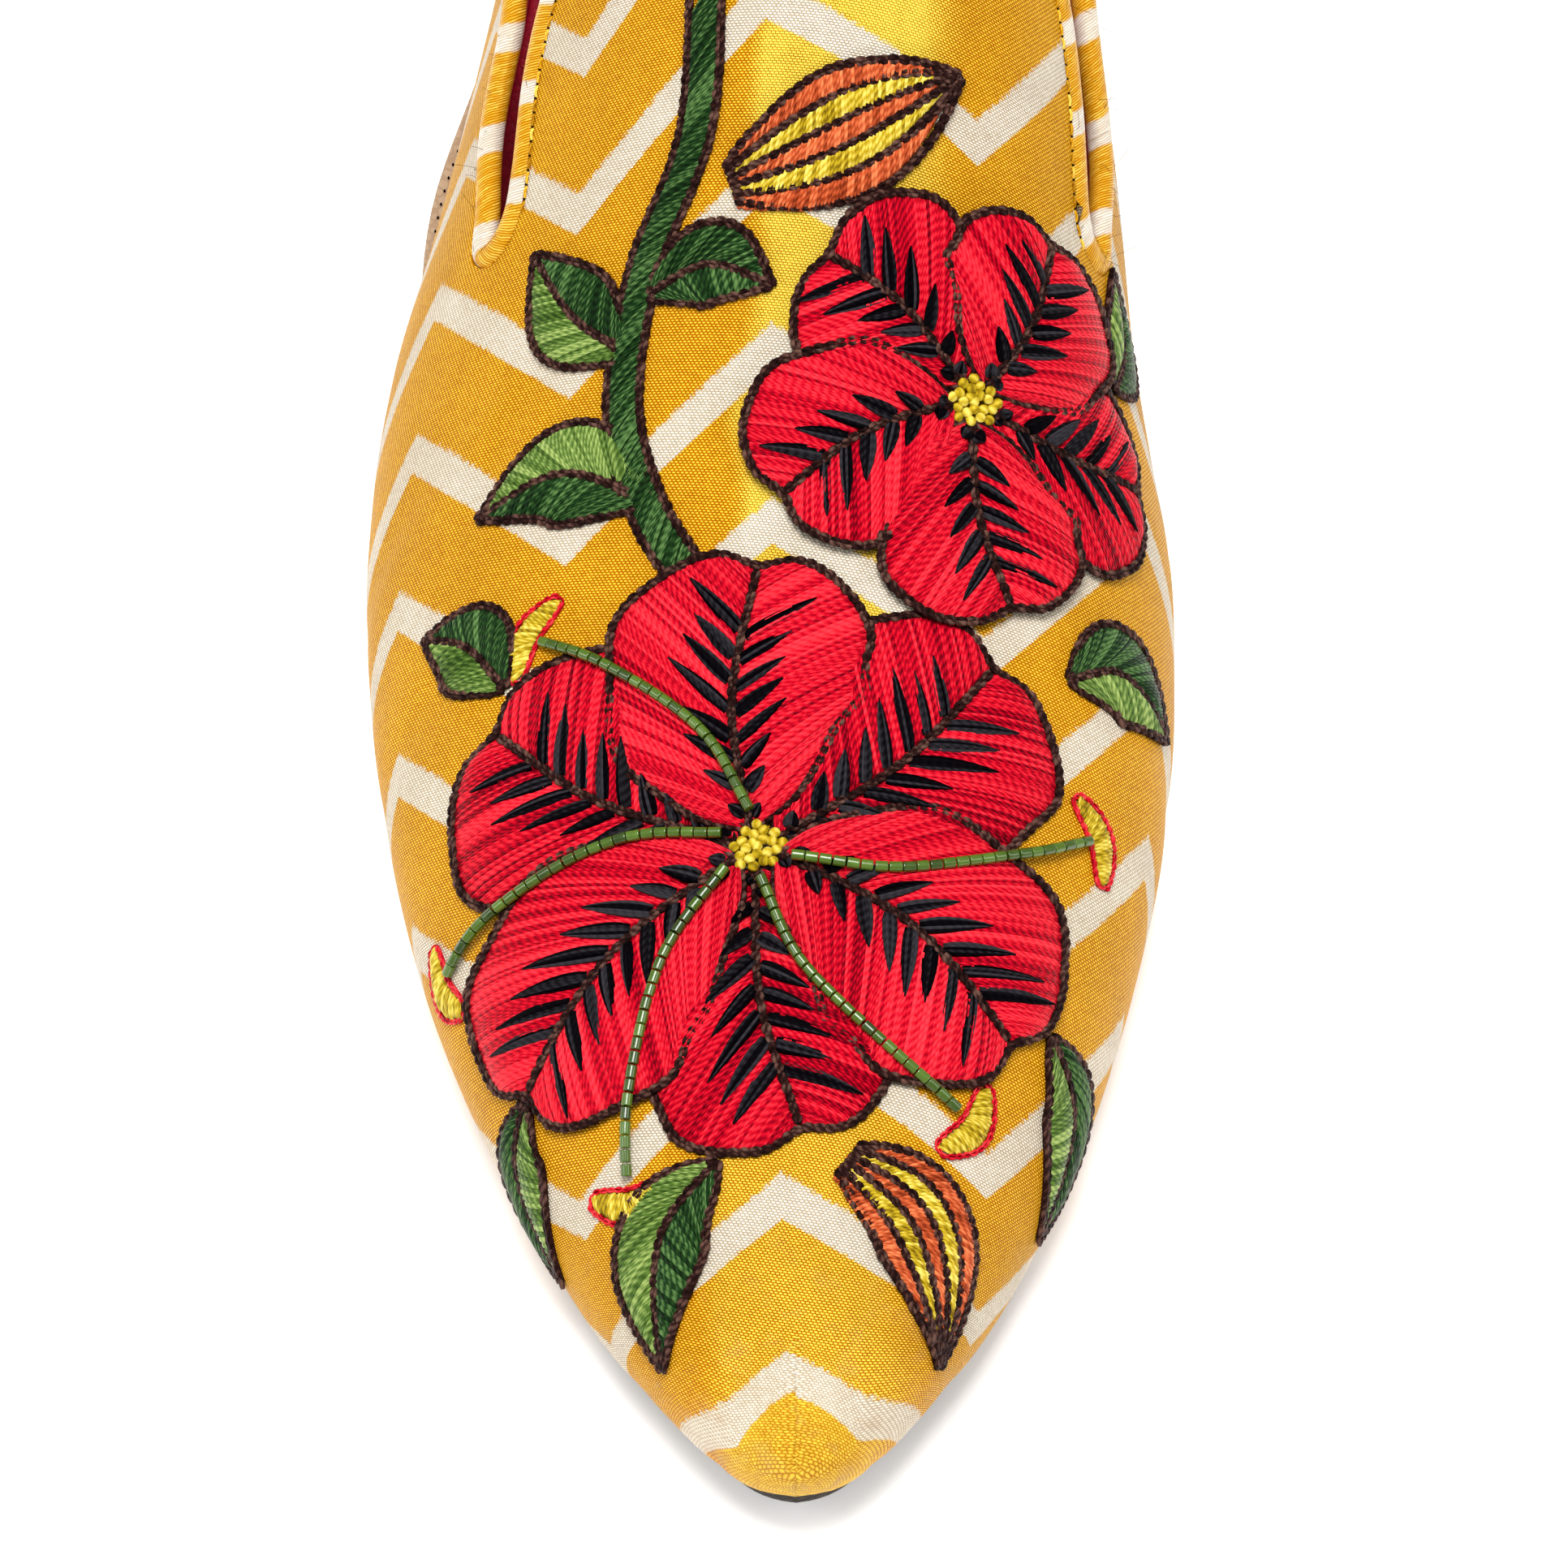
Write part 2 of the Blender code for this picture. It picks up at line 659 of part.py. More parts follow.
def add_part(collection, name, data, material):
    """Link a named object with its own material."""
    part = bpy.data.objects.new(name, data)
    part.data.materials.append(paint(material))
    collection.objects.link(part)
    return part


def mesh_part(collection, name, mesh, material):
    """A named object from a finished bmesh, shaded smooth where it is round."""
    data = bpy.data.meshes.new(name)
    mesh.to_mesh(data)
    mesh.free()
    data.shade_smooth()
    data.set_sharp_from_angle(angle=math.radians(40.0))
    return add_part(collection, name, data, material)


def add_upper(collection, skin):
    """The upper: its outer skin given the wall's real thickness inward."""
    upper = mesh_part(collection, "upper", skin, "satin")
    wall = upper.modifiers.new("wall", "SOLIDIFY")
    wall.thickness = UPPER_WALL * MM
    wall.offset = -1.0
    wall.use_even_offset = True
    return upper


def add_binding(collection, points):
    """The rolled binding, one cord round both wings, both slits and the tongue."""
    curve = bpy.data.curves.new("binding", "CURVE")
    curve.dimensions = "3D"
    curve.bevel_depth = BINDING_RADIUS * MM
    curve.bevel_resolution = 2
    curve.use_fill_caps = True
    spline = curve.splines.new("POLY")
    spline.points.add(len(points) - 1)
    for knot, point in zip(spline.points, points):
        knot.co = (*point, 1.0)
    return add_part(collection, "binding", curve, "binding_satin")


def add_heel_tip(collection):
    """The rubber top piece under the cone, with a slightly wider foot."""
    mesh = bmesh.new()
    bmesh.ops.create_cone(
        mesh, cap_ends=True, segments=36, depth=TIP_THICK * MM,
        radius1=(CONE_FOOT_RADIUS - TIP_FLARE) * MM, radius2=CONE_FOOT_RADIUS * MM,
    )
    middle = to_world(Vector((0.0, CONE_FOOT_CENTRE, 0.5 * TIP_THICK)))
    bmesh.ops.translate(mesh, vec=middle, verts=mesh.verts)
    return mesh_part(collection, "heel_tip", mesh, "heel_rubber")


def main():
    """Clear the scene and build the shoe's pieces."""
    for old in list(bpy.data.objects):
        bpy.data.objects.remove(old, do_unlink=True)
    shoe = bpy.data.collections.new("cone_heel_mule")
    bpy.context.scene.collection.children.link(shoe)
    skin, rim = upper_skin()
    add_upper(shoe, skin)
    add_binding(shoe, rim)
    outsole = build_plate(sole_rows(), outsole_inset, SOLE, outsole_top)
    mesh_part(shoe, "outsole", outsole, "sole_leather")
    insole = build_plate(sole_rows(), insole_inset, insole_bottom, insole_top)
    mesh_part(shoe, "insole", insole, "insole_leather")
    mesh_part(shoe, "heel", build_heel(), "heel_satin")
    add_heel_tip(shoe)


main()
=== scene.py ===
"""Looks of the cone heel mule: lasted satin upper, floral embroidery, binding, soles and heel.

The shoe is a right shoe. Lengths are in millimetres along the last, measured back from the toe's
tip, until they are written to a mesh in metres. A place on the upper is given by its signed skin
distance from the instep's ridge (the inner side is positive) and its distance along that ridge.
"""

import logging
import math
from dataclasses import dataclass, field
from enum import Enum
from typing import Callable, ClassVar, Iterator, NamedTuple, Optional, Sequence, Union

import bmesh
import bpy
import numpy as np
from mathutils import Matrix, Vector


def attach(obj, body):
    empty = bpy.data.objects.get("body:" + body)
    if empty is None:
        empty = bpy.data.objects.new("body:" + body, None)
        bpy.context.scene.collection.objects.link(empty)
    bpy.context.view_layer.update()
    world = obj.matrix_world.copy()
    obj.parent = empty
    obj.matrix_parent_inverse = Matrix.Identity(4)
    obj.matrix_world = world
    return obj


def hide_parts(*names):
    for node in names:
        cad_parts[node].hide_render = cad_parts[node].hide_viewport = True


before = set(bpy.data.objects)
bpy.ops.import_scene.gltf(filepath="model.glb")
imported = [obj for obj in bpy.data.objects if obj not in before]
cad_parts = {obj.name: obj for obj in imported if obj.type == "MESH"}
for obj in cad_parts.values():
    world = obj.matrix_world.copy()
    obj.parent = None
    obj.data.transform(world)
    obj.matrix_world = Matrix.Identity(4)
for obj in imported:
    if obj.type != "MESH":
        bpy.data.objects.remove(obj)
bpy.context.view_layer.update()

log = logging.getLogger("cone_heel_mule")

MM = 0.001
SEED = 11
ROOT = "root"
Array = np.ndarray
UP = np.array([[0.0, 0.0, 1.0]])


# ---------------------------------------------------------------- the last


class Side(Enum):
    """The two sides of the shoe, by the sign of X."""

    LATERAL = -1
    MEDIAL = 1

    @property
    def word(self) -> str:
        """Name of the side, as the tables' columns end."""
        return self.name.lower()


class Outline(NamedTuple):
    """One station of the shoe's plan and underside."""

    back: float
    lateral: float
    medial: float
    tuck_lateral: float
    tuck_medial: float
    sole: float


class Form(NamedTuple):
    """One station of the last above its widest line."""

    back: float
    bulge: float
    ridge: float
    ridge_x: float
    side_lateral: float
    top_lateral: float
    side_medial: float
    top_medial: float


class TopLine(NamedTuple):
    """One station of the wings' edges, by height, and of tongue and slits, along the skin."""

    back: float
    wing_lateral: float
    wing_medial: float
    tongue_lateral: float
    tongue_medial: float
    slit_lateral: float
    slit_medial: float


OUTLINES = (
    Outline(0.0, 0.0, 0.0, 1.0, 1.0, 6.0),
    Outline(4.0, 7.9, 7.9, 1.1, 1.1, 5.2),
    Outline(9.5, 12.9, 12.7, 1.3, 1.3, 4.3),
    Outline(19.0, 20.0, 19.4, 1.7, 1.6, 3.0),
    Outline(28.0, 25.1, 24.2, 2.2, 2.0, 2.1),
    Outline(43.0, 32.4, 30.4, 3.0, 2.7, 1.1),
    Outline(59.0, 38.2, 35.1, 4.0, 3.4, 0.4),
    Outline(75.0, 41.9, 38.4, 4.9, 4.0, 0.0),
    Outline(90.0, 44.0, 39.8, 5.4, 4.5, 0.0),
    Outline(104.0, 44.8, 40.0, 5.4, 4.9, 0.0),
    Outline(116.0, 44.2, 38.2, 4.5, 5.2, 0.9),
    Outline(127.0, 42.3, 36.3, 2.9, 6.0, 4.0),
    Outline(139.0, 38.2, 35.0, 0.2, 7.2, 10.0),
    Outline(152.0, 33.9, 33.0, -1.2, 7.7, 19.2),
    Outline(165.0, 30.2, 30.0, -0.9, 6.0, 30.2),
    Outline(180.0, 27.2, 27.4, 0.0, 2.8, 43.4),
    Outline(195.0, 26.1, 26.6, 0.2, 1.0, 55.2),
    Outline(210.0, 26.4, 26.8, 0.2, 0.4, 64.4),
    Outline(226.0, 26.3, 26.7, 0.2, 0.2, 71.4),
    Outline(245.0, 26.3, 26.7, 0.2, 0.2, 76.6),
)

FORMS = (
    Form(0.0, 3.6, 14.0, 0.0, 0.60, 0.50, 0.60, 0.50),
    Form(13.0, 4.2, 22.8, 0.0, 0.58, 0.50, 0.58, 0.50),
    Form(28.0, 5.4, 27.2, 0.2, 0.56, 0.50, 0.58, 0.52),
    Form(43.0, 6.6, 30.4, 0.6, 0.54, 0.50, 0.58, 0.54),
    Form(59.0, 8.0, 33.0, 1.2, 0.52, 0.50, 0.58, 0.55),
    Form(75.0, 9.4, 35.8, 1.8, 0.50, 0.50, 0.58, 0.56),
    Form(90.0, 10.6, 39.6, 2.5, 0.47, 0.50, 0.58, 0.57),
    Form(104.0, 11.6, 45.4, 3.2, 0.45, 0.50, 0.57, 0.58),
    Form(116.0, 12.4, 52.6, 3.9, 0.42, 0.51, 0.58, 0.59),
    Form(127.0, 13.0, 61.4, 4.5, 0.40, 0.52, 0.60, 0.60),
    Form(139.0, 13.0, 73.0, 4.8, 0.39, 0.53, 0.62, 0.60),
    Form(152.0, 12.0, 86.6, 4.4, 0.39, 0.54, 0.62, 0.60),
    Form(165.0, 9.0, 99.2, 3.4, 0.39, 0.54, 0.62, 0.60),
    Form(180.0, 6.0, 112.0, 2.4, 0.39, 0.54, 0.62, 0.60),
)

TOP_LINES = (
    TopLine(0.0, 42.4, 41.0, 37.4, 30.0, 7.2, 7.4),
    TopLine(129.0, 42.4, 41.0, 37.2, 30.2, 7.2, 7.6),
    TopLine(133.5, 44.0, 42.4, 37.3, 30.3, 8.2, 8.0),
    TopLine(138.0, 45.2, 43.2, 37.8, 30.4, 9.9, 8.2),
    TopLine(142.0, 46.7, 44.9, 38.1, 30.3, 11.2, 8.2),
    TopLine(145.5, 48.7, 47.8, 38.1, 30.1, 11.7, 8.2),
    TopLine(148.5, 51.1, 50.7, 38.0, 29.9, 11.7, 8.2),
    TopLine(151.5, 53.2, 52.7, 37.6, 29.6, 11.7, 8.2),
    TopLine(154.5, 53.8, 53.4, 37.0, 29.1, 11.7, 8.2),
    TopLine(158.0, 52.1, 51.7, 36.0, 28.3, 11.7, 8.2),
    TopLine(162.0, 48.5, 48.2, 34.5, 27.2, 11.7, 8.2),
    TopLine(166.0, 44.8, 44.8, 32.8, 26.0, 11.7, 8.2),
    TopLine(170.0, 42.2, 42.2, 31.1, 24.8, 11.7, 8.2),
    TopLine(174.6, 41.0, 41.0, 29.2, 23.4, 11.7, 8.2),
)


class Track:
    """A smooth curve through one named column of a table of stations."""

    def __init__(self, rows: Sequence[NamedTuple], column: str) -> None:
        """Set the slopes at the stations so that the curve never overshoots them.

        Args:
            rows: Stations of the table, from the toe back.
            column: Name of the column that the curve runs through.
        """
        self.at = np.array([row.back for row in rows])
        self.values = np.array([getattr(row, column) for row in rows])
        chords = np.diff(self.values) / np.diff(self.at)
        before, after = chords[:-1], chords[1:]
        level = before * after <= 0.0
        total = np.where(level, 1.0, before + after)
        inner = np.where(level, 0.0, 2.0 * before * after / total)
        self.slopes = np.concatenate([chords[:1], inner, chords[-1:]])

    def __call__(self, back: Array) -> Array:
        """Values at distances back from the toe's tip.

        Args:
            back: Stations, back from the toe's tip.

        Returns:
            A value for each station.
        """
        back = np.asarray(back, dtype=float)
        i = np.clip(np.searchsorted(self.at, back, side="left") - 1, 0, len(self.at) - 2)
        width = self.at[i + 1] - self.at[i]
        t = np.clip((back - self.at[i]) / width, 0.0, 1.0)
        s = 1.0 - t
        near, far = self.values[i], self.values[i + 1]
        level = near * s * s * (1.0 + 2.0 * t) + far * t * t * (3.0 - 2.0 * t)
        return level + width * t * s * (self.slopes[i] * s - self.slopes[i + 1] * t)

    @classmethod
    def pair(cls, rows: Sequence[NamedTuple], start: str) -> dict[Side, "Track"]:
        """Curves of both sides, through the two columns whose names start alike."""
        return {side: cls(rows, start + side.word) for side in Side}

    def slope(self, back: Array) -> Array:
        """Rise per millimetre at some stations."""
        step = 0.5
        return (self(back + step) - self(back - step)) / (2.0 * step)


def unit(vectors: Array) -> Array:
    """The same vectors with a length of one."""
    return vectors / np.maximum(np.linalg.norm(vectors, axis=-1, keepdims=True), 1e-12)


def stack(*parts: Union[float, Array]) -> Array:
    """Points from their coordinates, broadcast to one shape."""
    return np.stack(np.broadcast_arrays(*(np.asarray(part, float) for part in parts)), axis=-1)


def run_lengths(points: Array) -> Array:
    """Distance along a polyline at each of its points."""
    return np.concatenate([[0.0], np.cumsum(np.linalg.norm(np.diff(points, axis=0), axis=1))])


def sample(at: Array, marks: Array, table: Array) -> Array:
    """Rows of a table, read between its marks at some values."""
    return np.stack([np.interp(at, marks, column) for column in table.T], axis=-1)


def resampled(points: Array, pitch: float) -> Array:
    """A polyline with points at an even pitch.

    Args:
        points: Points of the polyline.
        pitch: Wanted distance between points.

    Returns:
        The new points; the ends stay.
    """
    lengths = run_lengths(points)
    count = max(int(round(lengths[-1] / pitch)), 1)
    return sample(np.linspace(0.0, lengths[-1], count + 1), lengths, points)


def smooth(share: Array) -> Array:
    """A share from 0 to 1 that starts and ends level."""
    share = np.clip(share, 0.0, 1.0)
    return share * share * (3.0 - 2.0 * share)


def left_of(ways: Array) -> Array:
    """Plan directions turned a quarter to the left."""
    return stack(-ways[..., 1], ways[..., 0])


def between(table: Array, row: Array, column: Array) -> Array:
    """Values of a grid between its four neighbours of fractional rows and columns.

    Args:
        table: The grid's values, by row and column.
        row: Fractional rows.
        column: Fractional columns.

    Returns:
        A value for each place.
    """
    row = np.clip(row, 0.0, table.shape[0] - 1.001)
    i, j = row.astype(int), column.astype(int)
    widen = (...,) + (None,) * (table.ndim - 2)
    down, along = (row - i)[widen], (column - j)[widen]
    near = table[i, j] * (1.0 - along) + table[i, j + 1] * along
    far = table[i + 1, j] * (1.0 - along) + table[i + 1, j + 1] * along
    return near * (1.0 - down) + far * down


def by_side(place: Array, lateral: Array, medial: Array) -> Array:
    """The lateral or the medial value, by the sign of a place across the shoe.

    Args:
        place: Signed places across the shoe.
        lateral: Values of the outer side.
        medial: Values of the inner side.

    Returns:
        The chosen values.
    """
    inner = np.asarray(place) >= 0.0
    inner = inner.reshape(inner.shape + (1,) * (lateral.ndim - inner.ndim))
    return np.where(inner, medial, lateral)


def bezier(points: Sequence[Array], t: Array) -> Array:
    """Points on cubic curves, one curve for each row of the four corner arrays.

    Args:
        points: Starts, first and second handles, and ends.
        t: Shares along the curves.

    Returns:
        Points, by curve and share.
    """
    t = t[None, :, None]
    s = 1.0 - t
    weights = (s ** 3, 3.0 * s * s * t, 3.0 * s * t * t, t ** 3)
    return sum(corner[:, None, :] * weight for corner, weight in zip(points, weights))


@dataclass
class Last:
    """The outer surface of the lasted upper, and the lines of the soles under it."""

    length: float = 245.0
    gap: float = 0.3
    flush: float = 1.5
    outsole: float = 3.2
    insole: float = 2.6
    toe_radius: float = 9.6
    toe_round_end: float = 4.0
    fan_start: float = 13.0
    fan_end: float = 45.0
    seat_centre: float = 219.0
    feather_flare: float = 0.62
    feather_rise: float = 0.25
    bulge_draw: float = 0.55
    middle_x: float = -2.4
    middle_back: float = 122.4
    row_step: float = 0.5
    rows_end: float = 176.0
    shares: int = 96
    slice_step: float = 0.5
    slice_steps: int = 170
    drape_share: float = 0.96
    drape_run: float = 34.0
    settle_run: float = 7.0
    settled: float = 0.08

    def __post_init__(self) -> None:
        """Work the whole surface out once, as a fine grid of stations and skin shares."""
        self.sole = Track(OUTLINES, "sole")
        self.bulge = Track(FORMS, "bulge")
        self.ridge = Track(FORMS, "ridge")
        self.ridge_x = Track(FORMS, "ridge_x")
        self.half = Track.pair(OUTLINES, "")
        self.tuck = Track.pair(OUTLINES, "tuck_")
        self.full_side = Track.pair(FORMS, "side_")
        self.full_top = Track.pair(FORMS, "top_")
        self.backs = np.arange(0.0, self.rows_end + self.row_step, self.row_step)
        self.points, self.edges, self.normals, self.across, self.slices = {}, {}, {}, {}, {}
        crest = stack(self.ridge_x(self.backs), self.backs, self.ridge(self.backs))
        self.ridge_run = run_lengths(crest)
        for side in Side:
            self.points[side], self.edges[side] = self._ribs(side)
            along = np.gradient(self.points[side], axis=0)
            down = np.gradient(self.points[side], axis=1)
            self.normals[side] = unit(np.cross(down, along) * side.value)
            self.across[side] = self._cloth_across(side)

    def half_width(self, side: Side, back: Array) -> Array:
        """Half-width of the plan at its widest line, rounded at the toe's tip and the seat.

        Args:
            side: The side.
            back: Stations, back from the toe's tip.

        Returns:
            A half-width for each station.
        """
        end, radius = self.toe_round_end, self.toe_radius
        full = self.half[side](np.maximum(back, end))
        toe = np.minimum(back, end)
        ramp = 2.0 * radius * toe - toe * toe
        toe_round = np.sqrt(np.maximum(ramp, 0.0) / (2.0 * radius * end - end * end))
        reach = np.clip((back - self.seat_centre) / (self.length - self.seat_centre), 0.0, 1.0)
        return full * toe_round * np.sqrt(1.0 - reach * reach)

    def outward(self, side: Side, back: Array) -> Array:
        """Outward direction of the plan's outline.

        Args:
            side: The side.
            back: Stations, back from the toe's tip.

        Returns:
            A unit vector for each station.
        """
        step = 0.02
        low, high = np.maximum(back - step, 0.0), np.minimum(back + step, self.length)
        rise = (self.half_width(side, high) - self.half_width(side, low)) * side.value
        return unit(stack(high - low, -rise, 0.0)) * side.value

    def plan(self, side: Side, back: Array, inset: Array = 0.0) -> Array:
        """Point of the plan's widest line, moved in by an inset."""
        base = stack(side.value * self.half_width(side, back), back, 0.0)
        return base - self.outward(side, back) * np.asarray(inset, float)[..., None]

    def feather_top(self, back: Array) -> Array:
        """Height at which the upper starts, a small gap above the outsole's sloping top."""
        lift = np.hypot(1.0, self.flush * self.sole.slope(back))
        return self.sole(back) + self.outsole + self.gap * lift

    def crest(self, back: Array) -> Array:
        """Where on the ridge a rib ends: ribs fan out round the toe."""
        share = np.clip(1.0 - back / self.fan_end, 0.0, 1.0)
        return back + self.fan_start * share ** 2

    def _rib(self, side: Side, backs: Array) -> Array:
        """Outer lines of the last from ridge to feather edge, one for each station.

        Args:
            side: The side.
            backs: Stations where the ribs start.

        Returns:
            Points, by rib and place on it.
        """
        base = self.plan(side, backs)
        crest = self.crest(backs)
        goal = stack(self.ridge_x(crest), crest, 0.0)
        reach = np.linalg.norm(goal - base, axis=1)[:, None]
        across = unit(goal - base)
        foot = self.feather_top(backs)
        rise_low = self.bulge(backs)[:, None]
        tuck = self.tuck[side](backs)
        out = self.outward(side, backs)
        start = self.plan(side, backs, tuck) + UP * foot[:, None]
        middle = base + UP * (foot[:, None] + rise_low)
        end = goal + UP * self.ridge(crest)[:, None]
        rise = (end - middle)[:, 2:]
        flare = self.feather_flare * np.maximum(tuck, 0.0)[:, None]
        low = (start, start + out * flare + UP * (self.feather_rise * rise_low),
               middle - UP * (self.bulge_draw * rise_low), middle)
        draw = self.full_top[side](backs)[:, None] * reach
        fall = self.ridge.slope(crest)[:, None] * across[:, 1:2] * draw
        high = (middle, middle + UP * (self.full_side[side](backs)[:, None] * rise),
                end - across * draw - UP * fall, end)
        low_line = bezier(low, np.linspace(0.0, 1.0, 25)[:-1])
        high_line = bezier(high, np.linspace(0.0, 1.0, 73))
        return np.concatenate([low_line, high_line], axis=1)[:, ::-1]

    def _ribs(self, side: Side) -> tuple[Array, Array]:
        """The ribs at even shares of their length, and their whole lengths.

        Args:
            side: The side.

        Returns:
            Points, by rib and share of its length, and the lengths.
        """
        grid, edges = [], []
        shares = np.linspace(0.0, 1.0, self.shares + 1)
        for line in self._rib(side, self.backs):
            lengths = run_lengths(line)
            grid.append(sample(shares * lengths[-1], lengths, line))
            edges.append(lengths[-1])
        return np.array(grid), np.array(edges)

    def _cloth_across(self, side: Side) -> Array:
        """Distance square across the shoe from its middle to each point of the grid.

        Behind the toe this is the skin distance itself. Round the toe, where the ribs fan out,
        it is measured in slices square to the shoe, as cloth lies. The slices are kept too, as
        tables of station and skin distance by slice and distance across.

        Args:
            side: The side.

        Returns:
            A distance for each point of the grid.
        """
        grid = self.points[side]
        rows = np.arange(len(self.backs), dtype=float)
        slices = np.full((len(self.backs), self.shares + 1), np.nan)
        ribs = np.zeros_like(slices)
        last_point = stack(self.ridge_x(self.backs), self.backs, self.ridge(self.backs))
        total = np.zeros(len(self.backs))
        for k in range(self.shares + 1):
            climb = np.maximum.accumulate(grid[:, k, 1])
            at = np.interp(self.backs, climb, rows)
            here = sample(at, rows, grid[:, k])
            seen = self.backs >= climb[0]
            step = np.linalg.norm(here - last_point, axis=1)
            total = np.where(seen, total + step, 0.0)
            last_point = np.where(seen[:, None], here, stack(0.0, self.backs, grid[0, k, 2]))
            slices[:, k] = total
            ribs[:, k] = at
        shares = np.linspace(0.0, 1.0, self.shares + 1)
        widths = np.arange(self.slice_steps) * self.slice_step
        station, skin = np.zeros((2, len(self.backs), self.slice_steps))
        for y, (across, rib) in enumerate(zip(slices, ribs)):
            first = max(int(np.argmax(across > 0.0)) - 1, 0)
            station[y] = np.interp(widths, across[first:], rib[first:]) * self.row_step
            share = np.interp(widths, across[first:], shares[first:])
            skin[y] = share * np.interp(station[y], self.backs, self.edges[side])
        self.slices[side] = stack(station, skin)
        return np.stack([np.interp(grid[:, k, 1], self.backs, slices[:, k])
                         for k in range(self.shares + 1)], axis=1)

    def _read(self, grids: dict, back: Array, skin: Array) -> Array:
        """Value of a grid at stations and signed skin distances, between its four neighbours.

        Args:
            grids: Both sides' grids.
            back: Stations, back from the toe's tip.
            skin: Signed skin distances from the ridge.

        Returns:
            A value for each place.
        """
        back, skin = np.broadcast_arrays(np.asarray(back, float), np.asarray(skin, float))
        row = back / self.row_step
        values = []
        for side in Side:
            share = np.clip(np.abs(skin) / self.edge(side, back), 0.0, 0.99999)
            values.append(between(grids[side], row, share * self.shares))
        return by_side(skin, *values)

    def surface(self, back: Array, skin: Array) -> tuple[Array, Array]:
        """Points and outward normals of the skin."""
        return self._read(self.points, back, skin), unit(self._read(self.normals, back, skin))

    def cloth(self, back: Array, skin: Array) -> Array:
        """Cloth coordinates of the skin: signed distance across, and distance along the ridge.

        Args:
            back: Stations, back from the toe's tip.
            skin: Signed skin distances from the ridge.

        Returns:
            Two cloth coordinates for each place.
        """
        across = self._read(self.across, back, skin) * np.where(np.asarray(skin) < 0.0, -1.0, 1.0)
        y = self._read(self.points, back, skin)[..., 1]
        return stack(across, np.interp(y, self.backs, self.ridge_run))

    def drape(self, back: Array, skin: Array) -> Array:
        """Cloth coordinates of satin drawn over the toe, where its rows run on down the wall.

        Args:
            back: Stations, back from the toe's tip.
            skin: Signed skin distances from the ridge.

        Returns:
            Two cloth coordinates for each place.
        """
        cloth = self.cloth(back, skin)
        points = self._read(self.points, back, skin)
        drop = np.maximum(self.ridge(points[..., 1]) - points[..., 2], 0.0)
        share = self.drape_share * smooth(1.0 - points[..., 1] / self.drape_run)
        across = np.abs(cloth[..., 0]) - (1.0 - np.sqrt(1.0 - share * share)) * drop
        return stack(np.sign(cloth[..., 0]) * across, cloth[..., 1] - share * drop)

    def settle(self, points: Array, back: Array, skin: Array) -> Array:
        """The skin's points with the lowest few millimetres drawn down onto the outsole.

        Args:
            points: Points of the skin.
            back: Stations, back from the toe's tip.
            skin: Signed skin distances from the ridge.

        Returns:
            The points, drawn down.
        """
        edge = by_side(skin, self.edge(Side.LATERAL, back), self.edge(Side.MEDIAL, back))
        foot = self._read(self.points, back, by_side(skin, -edge, edge))
        drop = foot[..., 2] - self.sole(foot[..., 1]) - self.outsole - self.settled
        share = smooth(1.0 - (edge - np.abs(skin)) / self.settle_run)
        return points - stack(0.0, 0.0, np.maximum(drop, 0.0) * share)

    def stitch_spot(self, place: Array, lift: Array = 0.0) -> tuple[Array, Array]:
        """Points and normals for places in cloth coordinates, at a height over the skin.

        Args:
            place: Cloth coordinates.
            lift: Heights over the skin.

        Returns:
            A point and a normal for each place.
        """
        y = np.interp(place[..., 1], self.ridge_run, self.backs) / self.row_step
        x = np.clip(np.abs(place[..., 0]) / self.slice_step, 0.0, self.slice_steps - 1.001)
        outer, inner = (between(self.slices[side], y, x) for side in Side)
        back = by_side(place[..., 0], outer[..., 0], inner[..., 0])
        skin = by_side(place[..., 0], -outer[..., 1], inner[..., 1])
        points, normals = self.surface(back, skin)
        return points + normals * np.asarray(lift, float)[..., None], normals

    def edge(self, side: Side, back: Array) -> Array:
        """Skin distance from the ridge to the feather edge."""
        return np.interp(back, self.backs, self.edges[side])

    def skin_at_height(self, side: Side, back: float, height: float) -> float:
        """Skin distance from the ridge at which one rib comes down to a height.

        Args:
            side: The side.
            back: Station of the rib.
            height: The height.

        Returns:
            The skin distance.
        """
        skins = np.linspace(0.0, float(self.edge(side, back)), 200)
        points, _ = self.surface(np.full_like(skins, back), skins * side.value)
        drop = np.minimum.accumulate(points[:, 2])
        return float(np.interp(-height, -drop, skins))

    def world(self, points: Array) -> Array:
        """Metres in the frame, from millimetres along the last."""
        return (points - np.array([self.middle_x, self.middle_back, 0.0])) * MM
# ---------------------------------------------------------------- meshes


class MapName(Enum):
    """Names of the UV maps that the finishes read."""

    CLOTH = "cloth"
    TONE = "tone"


